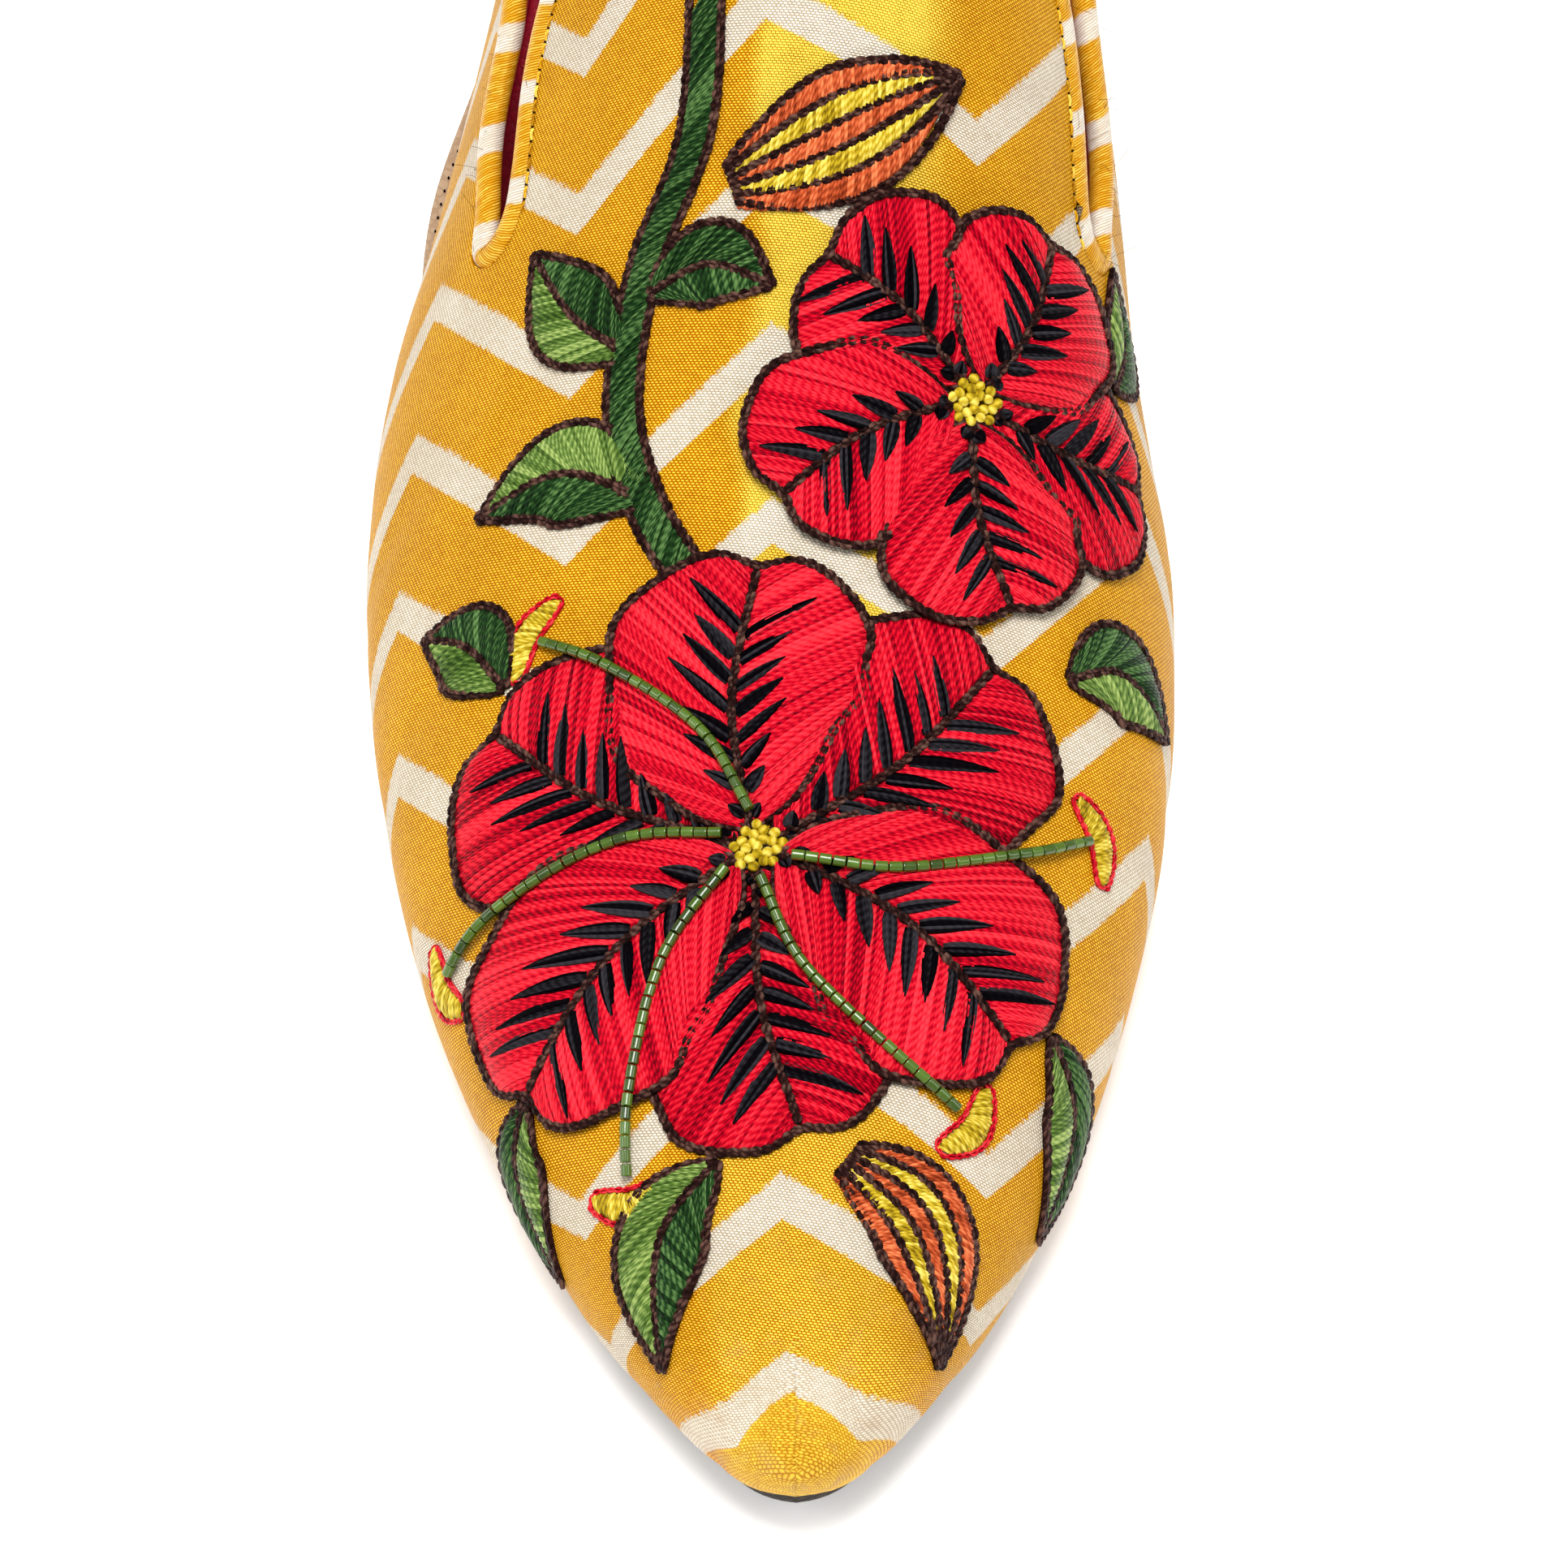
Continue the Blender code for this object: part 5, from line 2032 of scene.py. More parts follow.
def solid(name: str, last: Last, finish: bpy.types.Material, points: Array, cloth: Array,
          slot: str, node: str, closed: bool = False) -> None:
    """Build a closed body from a grid of points.

    Args:
        name: Name of the piece.
        last: The last.
        finish: Material of the piece.
        points: The grid.
        cloth: Its cloth map.
        slot: Record slot.
        node: CAD node that it stands for.
        closed: Whether the grid's last column joins its first.
    """
    shell = Shell()
    faces = grid_faces(*points.shape[:2], closed)
    shell.add(points, faces[:, ::-1] if closed else faces, cloth=cloth)
    made = shell.finish(name, last, finish)
    weld(made, 0.01)
    face_out(made)
    dress(made, slot, node)


@dataclass
class Heel:
    """The cone heel under its satin cover, and its rubber top piece."""

    last: Last
    centre: float = 220.8
    half_width: float = 24.6
    back_reach: float = 23.4
    front_reach: float = 24.5
    foot_centre: float = 219.0
    foot_radius: float = 12.0
    waist: float = 0.16
    tip: float = 6.0
    flare: float = 0.6
    cloth_radius: float = 20.0
    cloth_slope: float = 1.02
    around: int = 120
    levels: int = 48

    def rim_point(self, angle: Array) -> Array:
        """Plan of the heel's top; angle 0 is the inner side."""
        reach = np.where(np.sin(angle) > 0.0, self.back_reach, self.front_reach)
        return stack(self.half_width * np.cos(angle), self.centre + reach * np.sin(angle), 0.0)

    def cone(self) -> None:
        """The cone: its top follows the sole's underside and it narrows to a round foot."""
        angle = np.linspace(0.0, 2.0 * math.pi, self.around + 1)
        top = self.rim_point(angle)
        seat = self.last.sole(top[:, 1]) - self.last.gap
        low = self.tip + self.last.gap
        foot = stack(self.foot_radius * np.cos(angle),
                     self.foot_centre + self.foot_radius * np.sin(angle), 0.0)
        middle, centre = np.array([[0.0, self.foot_centre, 0.0], [0.0, self.centre, 0.0]])
        over = []
        for share in (0.02, 0.4, 0.7, 0.9, 0.99):
            spot = centre + (top - centre) * share
            over.append(stack(spot[:, 0], spot[:, 1], self.last.sole(spot[:, 1]) - self.last.gap))
        rows = []
        for down in np.linspace(0.0, 1.0, self.levels + 1):
            drawn = min(down + self.waist * math.sin(math.pi * down), 1.0)
            spot = top + (foot - top) * drawn
            rows.append(stack(spot[:, 0], spot[:, 1], seat + (low - seat) * down))
        # The underside's rows share one centre and lie a hair under the cone's foot.
        under = []
        for share, drop in ((0.97, 0.0), (0.5, 0.02), (0.02, 0.02)):
            spot = middle + (rows[-1] - middle) * share
            under.append(stack(spot[:, 0], spot[:, 1], low - drop))
        points = np.stack(over + rows + under)
        cloth = stack(angle * self.cloth_radius, points[..., 2] * self.cloth_slope)
        solid("satin_cone_heel", self.last, Satin("plain_satin", False).make(), points, cloth,
              "heel_satin", "heel")

    def top_piece(self) -> None:
        """The rubber top piece, turned, with rounded edges and a fine groove."""
        radius, foot = self.foot_radius, self.foot_radius - self.flare
        profile = [(0.2, 0.0), (foot * 0.6, 0.0), (foot - 0.5, 0.0), (foot - 0.15, 0.12),
                   (foot, 0.45)]
        for level in (0.25, 0.5, 0.7):
            profile.append((foot + self.flare * level, self.tip * level))
        profile += [(radius - 0.2, self.tip - 1.1), (radius - 0.38, self.tip - 0.95),
                    (radius - 0.2, self.tip - 0.8), (radius, self.tip - 0.35),
                    (radius - 0.15, self.tip - 0.1), (radius - 0.5, self.tip), (0.2, self.tip)]
        angle = np.linspace(0.0, 2.0 * math.pi, self.around + 1)
        points = np.stack([stack(r * np.cos(angle), self.foot_centre + r * np.sin(angle), z)
                           for r, z in profile])
        solid("rubber_top_piece", self.last, Rubber().make(), points,
              stack(angle * radius, points[..., 2]), "heel_rubber", "heel_tip")

    def build(self) -> None:
        """Build cone and top piece."""
        self.cone()
        self.top_piece()


# ---------------------------------------------------------------- embroidery


def spline(knots: Sequence, count: int) -> Array:
    """Smooth curve through knots.

    Args:
        knots: Places that the curve passes.
        count: Number of points.

    Returns:
        The curve's points.
    """
    knots = np.asarray(knots, float)
    ends = np.concatenate([2.0 * knots[:1] - knots[1:2], knots, 2.0 * knots[-1:] - knots[-2:-1]])
    t = np.linspace(0.0, len(knots) - 1.0, count)
    i = np.minimum(t.astype(int), len(knots) - 2)
    f = (t - i)[:, None]
    a, b, c, d = (ends[i + k] for k in range(4))
    return 0.5 * (2.0 * b + (c - a) * f + (2.0 * a - 5.0 * b + 4.0 * c - d) * f ** 2
                  + (3.0 * b - a - 3.0 * c + d) * f ** 3)


def aside(line: Array) -> Array:
    """Unit directions to the left of a line of places."""
    return left_of(unit(np.gradient(line, axis=0)))


def polar(centre: Sequence, reach: Union[float, Array], turn: Array) -> Array:
    """Places at distances and turns, in radians, from a centre."""
    return np.asarray(centre) + stack(reach * np.cos(turn), reach * np.sin(turn))


def swelling(share: Array) -> Array:
    """Height of the padding along a thread, steep at its ends."""
    return np.sin(math.pi * share) ** 0.6


def half_width(outline: Sequence, count: int) -> tuple[Array, Array]:
    """Half width of an outline by share of the midrib, up to its farthest place.

    Args:
        outline: Shares along the midrib and out from it.
        count: Number of points.

    Returns:
        Shares along, and the half width at each.
    """
    line = spline(outline, count)
    keep = np.maximum.accumulate(line[:, 0]) == line[:, 0]
    return line[keep, 0], line[keep, 1]


GOLDEN_ANGLE = 2.39996
ROUND = ((0.0, 0.03), (0.1, 0.4), (0.32, 0.8), (0.56, 1.0), (0.78, 0.98), (0.94, 0.72),
         (1.02, 0.36), (0.99, 0.03))
POINTED = ((0.0, 0.03), (0.14, 0.5), (0.36, 0.96), (0.56, 0.98), (0.78, 0.58), (1.0, 0.02))
BUD = ((0.0, 0.3), (0.12, 0.62), (0.34, 0.98), (0.56, 1.0), (0.8, 0.6), (1.0, 0.03))


@dataclass
class Needle:
    """Works stitches onto the skin of the last."""

    OFFSETS: ClassVar[Array] = np.array([-0.5, -0.2, 0.2, 0.5])
    DOMES: ClassVar[Array] = np.array([0.0, 1.0, 1.0, 0.0])
    DART_THREADS: ClassVar[tuple] = (-0.72, -0.36, 0.0, 0.36, 0.72)
    BEAD: ClassVar[Array] = np.array([[0.02, 0.4], [0.0, 0.93], [0.03, 1.0], [0.1, 1.0],
                                      [0.9, 1.0], [0.97, 1.0], [1.0, 0.93], [0.98, 0.4]])

    last: Last
    rng: np.random.Generator
    pitch: float = 0.34
    lap: float = 1.4
    thinnest: float = 0.2
    thickest: float = 0.62
    crown: float = 0.42
    steep: float = 0.16
    segments: int = 8
    fray_start: float = 0.12
    fray_end: float = 0.15
    uneven: float = 0.05
    slow_turn: float = 0.13
    slow_tone: float = 0.08
    thread_step: float = 0.7
    corner_step: float = 0.12
    link_reach: float = 1.25
    link_back: float = 0.1
    link_rise: float = 0.16
    link_fall: float = 0.08
    link_points: int = 5
    core_breadth: float = 1.35
    core_sink: float = 0.1
    core_tone: float = 0.25
    dart_points: int = 8
    dart_thread: float = 0.27
    dart_least: float = 0.04
    dart_rise: float = 0.08

    def fill(self, shell: Shell, start: Array, end: Array, pad: float, base: float,
             tone: float = 0.5, spread: float = 0.34) -> None:
        """Satin stitch: side-by-side threads from one line of places to another.

        Args:
            shell: Mesh of this thread's colour.
            start: Line where the threads start.
            end: Line where they end, with as many places.
            pad: Height of the padding under the middle of the longest threads.
            base: Height of their ends over the cloth.
            tone: Middle tone of the threads, from 0 to 1.
            spread: How far tones vary from thread to thread.
        """
        length = max(run_lengths(start)[-1], run_lengths(end)[-1])
        count = max(int(length / self.pitch), 3)
        at = np.linspace(0.0, len(start) - 1.0, count)
        first, last = (sample(at, np.arange(len(start)), line) for line in (start, end))
        reach = np.linalg.norm(last - first, axis=1)[:, None]
        way = (last - first) / np.maximum(reach, 0.05)
        first = first - way * self.rng.uniform(-self.fray_start, self.fray_start, (count, 1))
        last = last + way * self.rng.uniform(-self.fray_end, self.fray_end, (count, 1))
        x = np.linspace(0.0, 1.0, self.segments + 1)
        lines = first[:, None] + (last - first)[:, None] * x[None, :, None]
        normal = left_of(way)[:, None]
        gap = np.abs(np.sum(np.gradient(lines, axis=0) * normal, axis=2))
        width = np.clip(gap * self.lap, self.thinnest, self.thickest)
        height = np.minimum(pad, self.steep * reach) * swelling(x)[None]
        height = (height + base + self.rng.uniform(0.0, self.uneven, (count, 1)))[:, :, None]
        width = width[:, :, None]
        places = lines[:, :, None] + normal[:, :, None] * (width * self.OFFSETS)[..., None]
        lifts = height + width * self.DOMES * self.crown
        points, _ = self.last.stitch_spot(places, lifts)
        slow = np.sin(np.arange(count) * self.slow_turn + self.rng.uniform(0.0, 6.0))
        tones = tone + slow * self.slow_tone + self.rng.uniform(-spread, spread, count)
        self._write(shell, points, tones, x, reach[:, 0])

    def _write(self, shell: Shell, points: Array, tones: Array, x: Array, reach: Array,
               closed: bool = False) -> None:
        """Add a batch of like strips, one for each thread.

        Args:
            shell: Mesh of this thread's colour.
            points: Points, by strip, row and column.
            tones: A tone for each strip.
            x: Shares along a strip.
            reach: Length of each strip.
            closed: Whether a strip's section is closed.
        """
        count, rows, columns = points.shape[:3]
        faces = grid_faces(rows, columns, closed)
        faces = faces[None] + (np.arange(count) * rows * columns)[:, None, None]
        share = x[None, :, None]
        across = np.arange(count)[:, None, None] * self.thread_step
        across = np.arange(columns) * self.corner_step + across
        cloth = stack(across, share * reach[:, None, None])
        tone = stack(np.clip(tones, 0.0, 1.0)[:, None, None], share)
        shell.add(points, faces.reshape(-1, 4), cloth=cloth,
                  tone=np.broadcast_to(tone, cloth.shape))

    def strands(self, shell: Shell, places: Array, lifts: Array, radii: Array, tones: Array,
                around: int = 6, flat: float = 1.0) -> None:
        """Round strands that lie on the skin.

        Args:
            shell: Mesh of this thread's colour.
            places: Middle lines, as strands by samples by two.
            lifts: Heights of the middle lines, as strands by samples.
            radii: Radii, in a shape that fits the heights.
            tones: A tone for each strand.
            around: Corners of the section.
            flat: Height of the section over its breadth.
        """
        lifts = np.broadcast_to(lifts, places.shape[:2])
        points, normals = self.last.stitch_spot(places, lifts)
        tangent = unit(np.gradient(points, axis=1))
        side = unit(np.cross(tangent, normals))[:, :, None]
        top = np.cross(side, tangent[:, :, None])
        turn = (np.arange(around) / around - 0.25)[None, None, :, None] * 2.0 * math.pi
        radii = np.broadcast_to(radii, places.shape[:2])[:, :, None, None]
        ring = side * np.cos(turn) + top * flat * np.sin(turn)
        x = np.linspace(0.0, 1.0, places.shape[1])
        reach = np.linalg.norm(points[:, -1] - points[:, 0], axis=1)
        self._write(shell, points[:, :, None] + ring * radii, tones, x, reach, closed=True)

    def chain(self, shell: Shell, line: Array, lift: Union[float, Array], pitch: float = 1.15,
              radius: float = 0.32, splay: float = 0.27) -> None:
        """Chain stitch: links of two splayed strands along a line.

        Args:
            shell: Mesh of the thread's colour.
            line: Places that the chain follows.
            lift: Height of the chain over the cloth, or one for each place.
            pitch: Length of a link.
            radius: Radius of a strand.
            splay: Distance of each strand from the middle line.
        """
        lifts = np.broadcast_to(lift, (len(line),))
        lengths = run_lengths(line)
        count = max(int(round(lengths[-1] / pitch)), 1)
        x = np.linspace(0.0, 1.0, self.link_points)
        at = np.arange(count)[:, None] + x[None] * self.link_reach - self.link_back
        at = at * (lengths[-1] / count)
        at = np.clip(at, 0.0, lengths[-1])
        middle, left = (sample(at, lengths, table) for table in (line, aside(line)))
        high = np.interp(at, lengths, lifts)
        bow = np.sin(math.pi * x) ** 0.7
        core = resampled(np.concatenate([line, lifts[:, None]], axis=1), pitch * 0.8)
        self.strands(shell, core[None, :, :2], core[None, :, 2] - self.core_sink,
                     self.core_breadth * radius, np.full(1, self.core_tone), 6, 0.8)
        for sign in (-1.0, 1.0):
            wide = splay * self.rng.uniform(0.75, 1.2, (count, 1, 1))
            places = middle + left * (sign * wide * bow[None, :, None])
            self.strands(shell, places, high + bow * self.link_rise - x * self.link_fall,
                         radius * (0.55 + 0.45 * bow)[None], self.rng.uniform(0.2, 0.8, count), 5)

    def darts(self, shell: Shell, starts: Array, ends: Array, lifts: Array, width: float) -> None:
        """Tapered accents, broad at the start and pointed at the end.

        Args:
            shell: Mesh of the thread's colour.
            starts: Where each dart starts.
            ends: Where each dart ends.
            lifts: Height along each dart, as darts by samples.
            width: Breadth of a dart.
        """
        x = np.linspace(0.0, 1.0, self.dart_points)
        places = starts[:, None] + (ends - starts)[:, None] * x[None, :, None]
        shape = 0.5 * width * np.sin(math.pi * (0.1 + 0.9 * x) ** 0.62) ** 0.75
        radii = np.maximum(shape, 0.05)[None] * self.rng.uniform(0.85, 1.15, (len(starts), 1))
        left = left_of(unit(ends - starts))[:, None]
        for sign in self.DART_THREADS:
            beside = left * (sign * radii * 1.1)[..., None]
            self.strands(shell, places + beside, lifts + self.dart_rise * (1.0 - abs(sign)),
                         self.dart_thread * radii + self.dart_least,
                         self.rng.uniform(0.0, 1.0, len(starts)), 5, 0.9)

    def knots(self, shell: Shell, spots: Array, lift: float, radius: float) -> None:
        """Small round knots.

        Args:
            shell: Mesh of this thread's colour.
            spots: Places of the knots.
            lift: Height over the cloth.
            radius: Radius of a knot.
        """
        x = np.linspace(-1.0, 1.0, 7)
        turn = self.rng.uniform(0.0, math.pi, len(spots))
        ball = np.sqrt(np.maximum(1.0 - x * x, 0.02)) * radius
        self.strands(shell, polar(spots[:, None], x * radius, turn[:, None]), lift, ball[None],
                     self.rng.uniform(0.2, 0.8, len(spots)), 8, 0.85)

    def beads(self, shell: Shell, line: Array, lift: Array, radius: float = 0.58,
              length: float = 1.24, pitch: float = 1.38) -> None:
        """Glass tube beads threaded along a line.

        Args:
            shell: Mesh of the beads.
            line: Places that the thread follows.
            lift: Height of the thread over the cloth at each place.
            radius: Radius of a bead.
            length: Length of a bead.
            pitch: Step from bead to bead.
        """
        lengths = run_lengths(line)
        starts = np.arange(0.2, lengths[-1] - length, pitch)
        x, swell = self.BEAD.T
        reach = length * self.rng.uniform(0.92, 1.04, (len(starts), 1))
        at = starts[:, None] + x[None] * reach
        places = sample(at, lengths, line)
        high = np.interp(at, lengths, lift) + self.rng.uniform(-0.06, 0.06, (len(starts), 1))
        self.strands(shell, places, high, radius * swell[None],
                     self.rng.uniform(0.0, 1.0, len(starts)), 8)


@dataclass
class Leafy:
    """A petal or leaf: a midrib with an outline on each side."""

    knots: Sequence
    width: float
    outline: Sequence = ROUND
    slant: float = 0.75
    base: float = 0.06
    pad: float = 0.85
    count: int = 90
    wave: float = 0.0

    def __post_init__(self) -> None:
        """Lay out midrib and outlines."""
        self.rib = spline(self.knots, self.count)
        self.length = float(run_lengths(self.rib)[-1])
        self.left = aside(self.rib)
        self.shares = run_lengths(self.rib) / self.length

    def spot(self, along: Array, out: Array) -> Array:
        """Places at shares of the midrib and signed shares of the width.

        Args:
            along: Shares of the midrib.
            out: Signed shares of the width.

        Returns:
            The places.
        """
        here, left = (sample(along, self.shares, table) for table in (self.rib, self.left))
        over = np.maximum(along - 1.0, 0.0)[..., None] * self.length
        ahead = unit(self.rib[-1] - self.rib[-2])
        return here + left * (out * self.width)[..., None] + ahead * over

    def side(self, sign: float, seed: float = 0.0) -> tuple[Array, Array]:
        """Shares along and out of one side's outline.

        Args:
            sign: 1 for the left side and -1 for the right.
            seed: Where the ripple starts.

        Returns:
            Shares along and shares out.
        """
        line = spline(self.outline, self.count)
        ripple = 1.0 + self.wave * np.sin(line[:, 0] * 17.0 + seed)
        return line[:, 0], line[:, 1] * ripple * sign

    def work(self, needle: Needle, shells: Sequence[Shell], edge: Shell, tone: float = 0.5) -> None:
        """Stitch both halves, the outline and the midrib.

        Args:
            needle: The needle.
            shells: Meshes of the left and right halves' threads.
            edge: Mesh of the outline's thread.
            tone: Middle tone of the threads.
        """
        outlines = []
        for sign, shell in zip((1.0, -1.0), shells):
            along, out = self.side(sign, seed=sign + self.width)
            start = np.clip(along - self.slant * np.abs(out) * self.width / self.length, 0.0, 0.97)
            needle.fill(shell, self.spot(start, np.full_like(start, 0.02 * sign)),
                        self.spot(along, out), self.pad, self.base, tone)
            outlines.append(self.spot(along, out * 1.02))
        whole = np.concatenate([outlines[0], outlines[1][::-1]])
        needle.chain(edge, whole, self.base + 0.2)
        needle.chain(edge, self.spot(np.linspace(0.0, 0.97, 60), np.zeros(60)), self.base + 0.2)

    def darts(self, needle: Needle, shell: Shell, first: float, last: float, pitch: float,
              reach: float, width: float = 1.5) -> None:
        """Dark accents from the midrib outward along the threads.

        Args:
            needle: The needle.
            shell: Mesh of the accents.
            first: Share of the midrib where they begin.
            last: Share of the midrib where they end.
            pitch: Distance between them along the midrib.
            reach: Share of the half width that they cross.
            width: Breadth of one.
        """
        x = np.linspace(0.0, 1.0, needle.dart_points)[None]
        for sign in (1.0, -1.0):
            along = np.arange(first, last, pitch / self.length) + 0.012 * sign
            along = along + needle.rng.uniform(-0.008, 0.008, len(along))
            lean = reach * needle.rng.uniform(0.75, 1.15, len(along))
            room = np.interp(along, *half_width(self.outline, 60))
            out = lean * room
            lead = self.slant * out * self.width / self.length
            starts = self.spot(along, 0.03 * sign * np.ones_like(along))
            ends = self.spot(along + lead, out * sign)
            thread = room * self.width * math.hypot(1.0, self.slant)
            pad = np.minimum(self.pad, needle.steep * thread)
            swell = swelling(np.clip(x * lean[:, None], 0.01, 0.99))
            needle.darts(shell, starts, ends, self.base + 0.16 + pad[:, None] * swell, width)


class Petal(NamedTuple):
    """One petal of a blossom: the way it points, its size and whether it lies on top."""

    angle: float
    length: float
    width: float
    upper: bool
    bend: float


@dataclass
class Blossom:
    """A round blossom of padded petals."""

    centre: tuple
    petals: Sequence[Petal]
    heart: float = 2.2
    base: float = 0.06
    dart_pitch: float = 2.9
    knots: int = 22
    knot_pitch: float = 0.56
    knot_lift: float = 0.85
    knot_radius: float = 0.6

    def leafy(self, petal: Petal) -> Leafy:
        """Lay out one petal.

        Args:
            petal: The petal.

        Returns:
            Its midrib and outline.
        """
        knots = []
        for share in (0.0, 0.5, 1.0):
            turn = math.radians(petal.angle + petal.bend * (share - 0.5) * 2.0)
            reach = self.heart + (petal.length - self.heart) * share
            knots.append(polar(self.centre, reach, turn))
        return Leafy(knots, petal.width, ROUND, base=self.base + (0.5 if petal.upper else 0.0),
                     wave=0.035)

    def work(self, needle: Needle, red: Shell, brown: Shell, black: Shell, yellow: Shell) -> None:
        """Stitch the petals, lower ones first, then the heart.

        Args:
            needle: The needle.
            red: Mesh of the petals' thread.
            brown: Mesh of the outlines' thread.
            black: Mesh of the accents' thread.
            yellow: Mesh of the heart's thread.
        """
        for petal in sorted(self.petals, key=lambda p: p.upper):
            leafy = self.leafy(petal)
            leafy.work(needle, (red, red), brown, 0.56 if petal.upper else 0.44)
            leafy.darts(needle, black, 0.05, 0.8, self.dart_pitch, 0.5)
        steps = np.arange(self.knots)
        spots = polar(self.centre, self.knot_pitch * np.sqrt(steps), steps * GOLDEN_ANGLE)
        needle.knots(yellow, spots, self.base + self.knot_lift, self.knot_radius)


@dataclass
class Embroidery:
    """A spray of two blossoms with leaves, striped buds and strings of beads."""

    FINISHES: ClassVar[dict] = {
        "red": Silk("red_silk", rgb(86, 0, 14), rgb(198, 5, 33), rgb(250, 56, 68)),
        "brown": BROWN_SILK,
        "black": Silk("black_silk", rgb(3, 2, 4), rgb(12, 10, 13), rgb(50, 48, 52), 0.5,
                      ply=0.25, shine=0.1),
        "yellow": Silk("yellow_silk", rgb(112, 86, 6), rgb(190, 160, 26), rgb(240, 220, 104)),
        "dark_green": Silk("dark_green_silk", rgb(6, 18, 8), rgb(24, 54, 22), rgb(92, 126, 70)),
        "light_green": Silk("light_green_silk", rgb(34, 56, 16), rgb(84, 114, 46),
                            rgb(160, 180, 102)),
        "rust": Silk("rust_silk", rgb(112, 38, 16), rgb(190, 80, 42), rgb(236, 134, 84)),
        "lemon": Silk("lemon_silk", rgb(112, 86, 6), rgb(196, 166, 30), rgb(246, 226, 112)),
        "scarlet": Silk("scarlet_silk", rgb(120, 0, 14), rgb(204, 16, 36), rgb(244, 70, 74)),
        "beads": Glass(),
    }
    BLOSSOMS: ClassVar[tuple[Blossom, ...]] = (
        Blossom((-5.0, 66.0), (
            Petal(101.0, 31.0, 13.0, True, -9.0), Petal(34.0, 32.0, 13.5, False, 8.0),
            Petal(-27.0, 33.0, 13.5, True, -8.0), Petal(-87.0, 31.0, 12.5, False, 7.0),
            Petal(-146.0, 33.0, 13.5, True, 8.0), Petal(157.0, 34.0, 13.5, False, -8.0))),
        Blossom((15.0, 115.0), (
            Petal(-14.0, 22.0, 10.5, False, 8.0), Petal(58.0, 22.0, 10.5, True, 8.0),
            Petal(130.0, 21.0, 10.5, False, 8.0), Petal(202.0, 22.0, 10.5, True, 8.0),
            Petal(275.0, 22.0, 10.5, True, 8.0)), base=0.5, dart_pitch=2.7),
    )
    BLOSSOM_SILKS: ClassVar[tuple] = ("red", "brown", "black", "yellow")
    VINE: ClassVar[tuple] = ((-11.0, 93.0), (-18.0, 104.0), (-21.5, 116.0), (-20.0, 130.0),
                             (-15.0, 143.0), (-14.0, 160.0))
    LEAVES: ClassVar[tuple] = (
        (((-18.0, 105.0), (-28.0, 110.0), (-38.0, 108.0)), 5.2, "dark_green", "light_green"),
        (((-21.0, 121.0), (-28.0, 127.0), (-34.0, 136.0)), 4.6, "light_green", "dark_green"),
        (((-19.5, 127.0), (-13.0, 129.0), (-6.0, 126.0)), 4.2, "dark_green", "dark_green"),
        (((-8.0, 33.0), (-14.0, 26.0), (-15.0, 14.0)), 5.0, "dark_green", "light_green"),
        (((-30.0, 44.0), (-33.0, 38.0), (-31.0, 28.0)), 4.2, "light_green", "dark_green"),
        (((27.0, 50.0), (32.0, 43.0), (31.0, 32.0)), 4.6, "dark_green", "light_green"),
        (((27.0, 88.0), (34.0, 91.0), (43.0, 88.0)), 5.0, "dark_green", "light_green"),
        (((-33.0, 88.0), (-38.0, 94.0), (-44.0, 97.0)), 4.4, "light_green", "dark_green"),
        (((35.0, 124.0), (39.0, 131.0), (39.0, 140.0)), 4.0, "light_green", "dark_green"),
    )
    BUDS: ClassVar[tuple] = ((((-11.0, 137.0), (0.0, 141.0), (13.0, 149.0)), 6.4),
                             (((5.0, 33.0), (13.0, 27.0), (17.0, 15.0)), 5.4))
    CUTS: ClassVar[tuple] = (-1.0, -0.58, -0.18, 0.2, 0.6, 1.0)
    STRINGS: ClassVar[tuple] = ((3.0, 36.0), (-57.0, 35.0), (-116.0, 36.5), (184.0, 36.0),
                                (127.0, 36.0))

    last: Last
    vine_half: float = 1.7
    vine_lead: int = 6
    bean_out: float = 1.6
    bean_half: float = 4.6
    bean_thick: float = 1.35
    bean_lead: int = 7

    def __post_init__(self) -> None:
        """Thread the needle and start a mesh for each colour."""
        self.needle = Needle(self.last, np.random.default_rng(SEED + 1))
        self.shells = {name: Shell() for name in self.FINISHES}

    def build(self) -> None:
        """Stitch every motif and dress the pieces."""
        for blossom in self.BLOSSOMS:
            blossom.work(self.needle, *(self.shells[name] for name in self.BLOSSOM_SILKS))
        self.vine()
        self.leaves()
        for knots, width in self.BUDS:
            self.bud(Leafy(knots, width, BUD, pad=0.55))
        for angle, reach in self.STRINGS:
            self.string(angle, reach)
        for name, finish in self.FINISHES.items():
            dress(self.shells[name].finish("embroidery_" + name, self.last, finish.make()), "satin")

    def vine(self) -> None:
        """The vine, an outlined stem of slanting threads."""
        vine = spline(self.VINE, 120)
        left = aside(vine) * self.vine_half
        self.needle.fill(self.shells["dark_green"], (vine + left)[:-self.vine_lead],
                         (vine - left)[self.vine_lead:], 0.6, 0.05)
        for sign in (-1.08, 1.08):
            self.needle.chain(self.shells["brown"], vine + left * sign, 0.18)

    def leaves(self) -> None:
        """The leaves, most of them with halves of two greens."""
        for knots, width, *greens in self.LEAVES:
            leaf = Leafy(knots, width, POINTED, slant=0.9, pad=0.6)
            leaf.work(self.needle, [self.shells[green] for green in greens], self.shells["brown"])

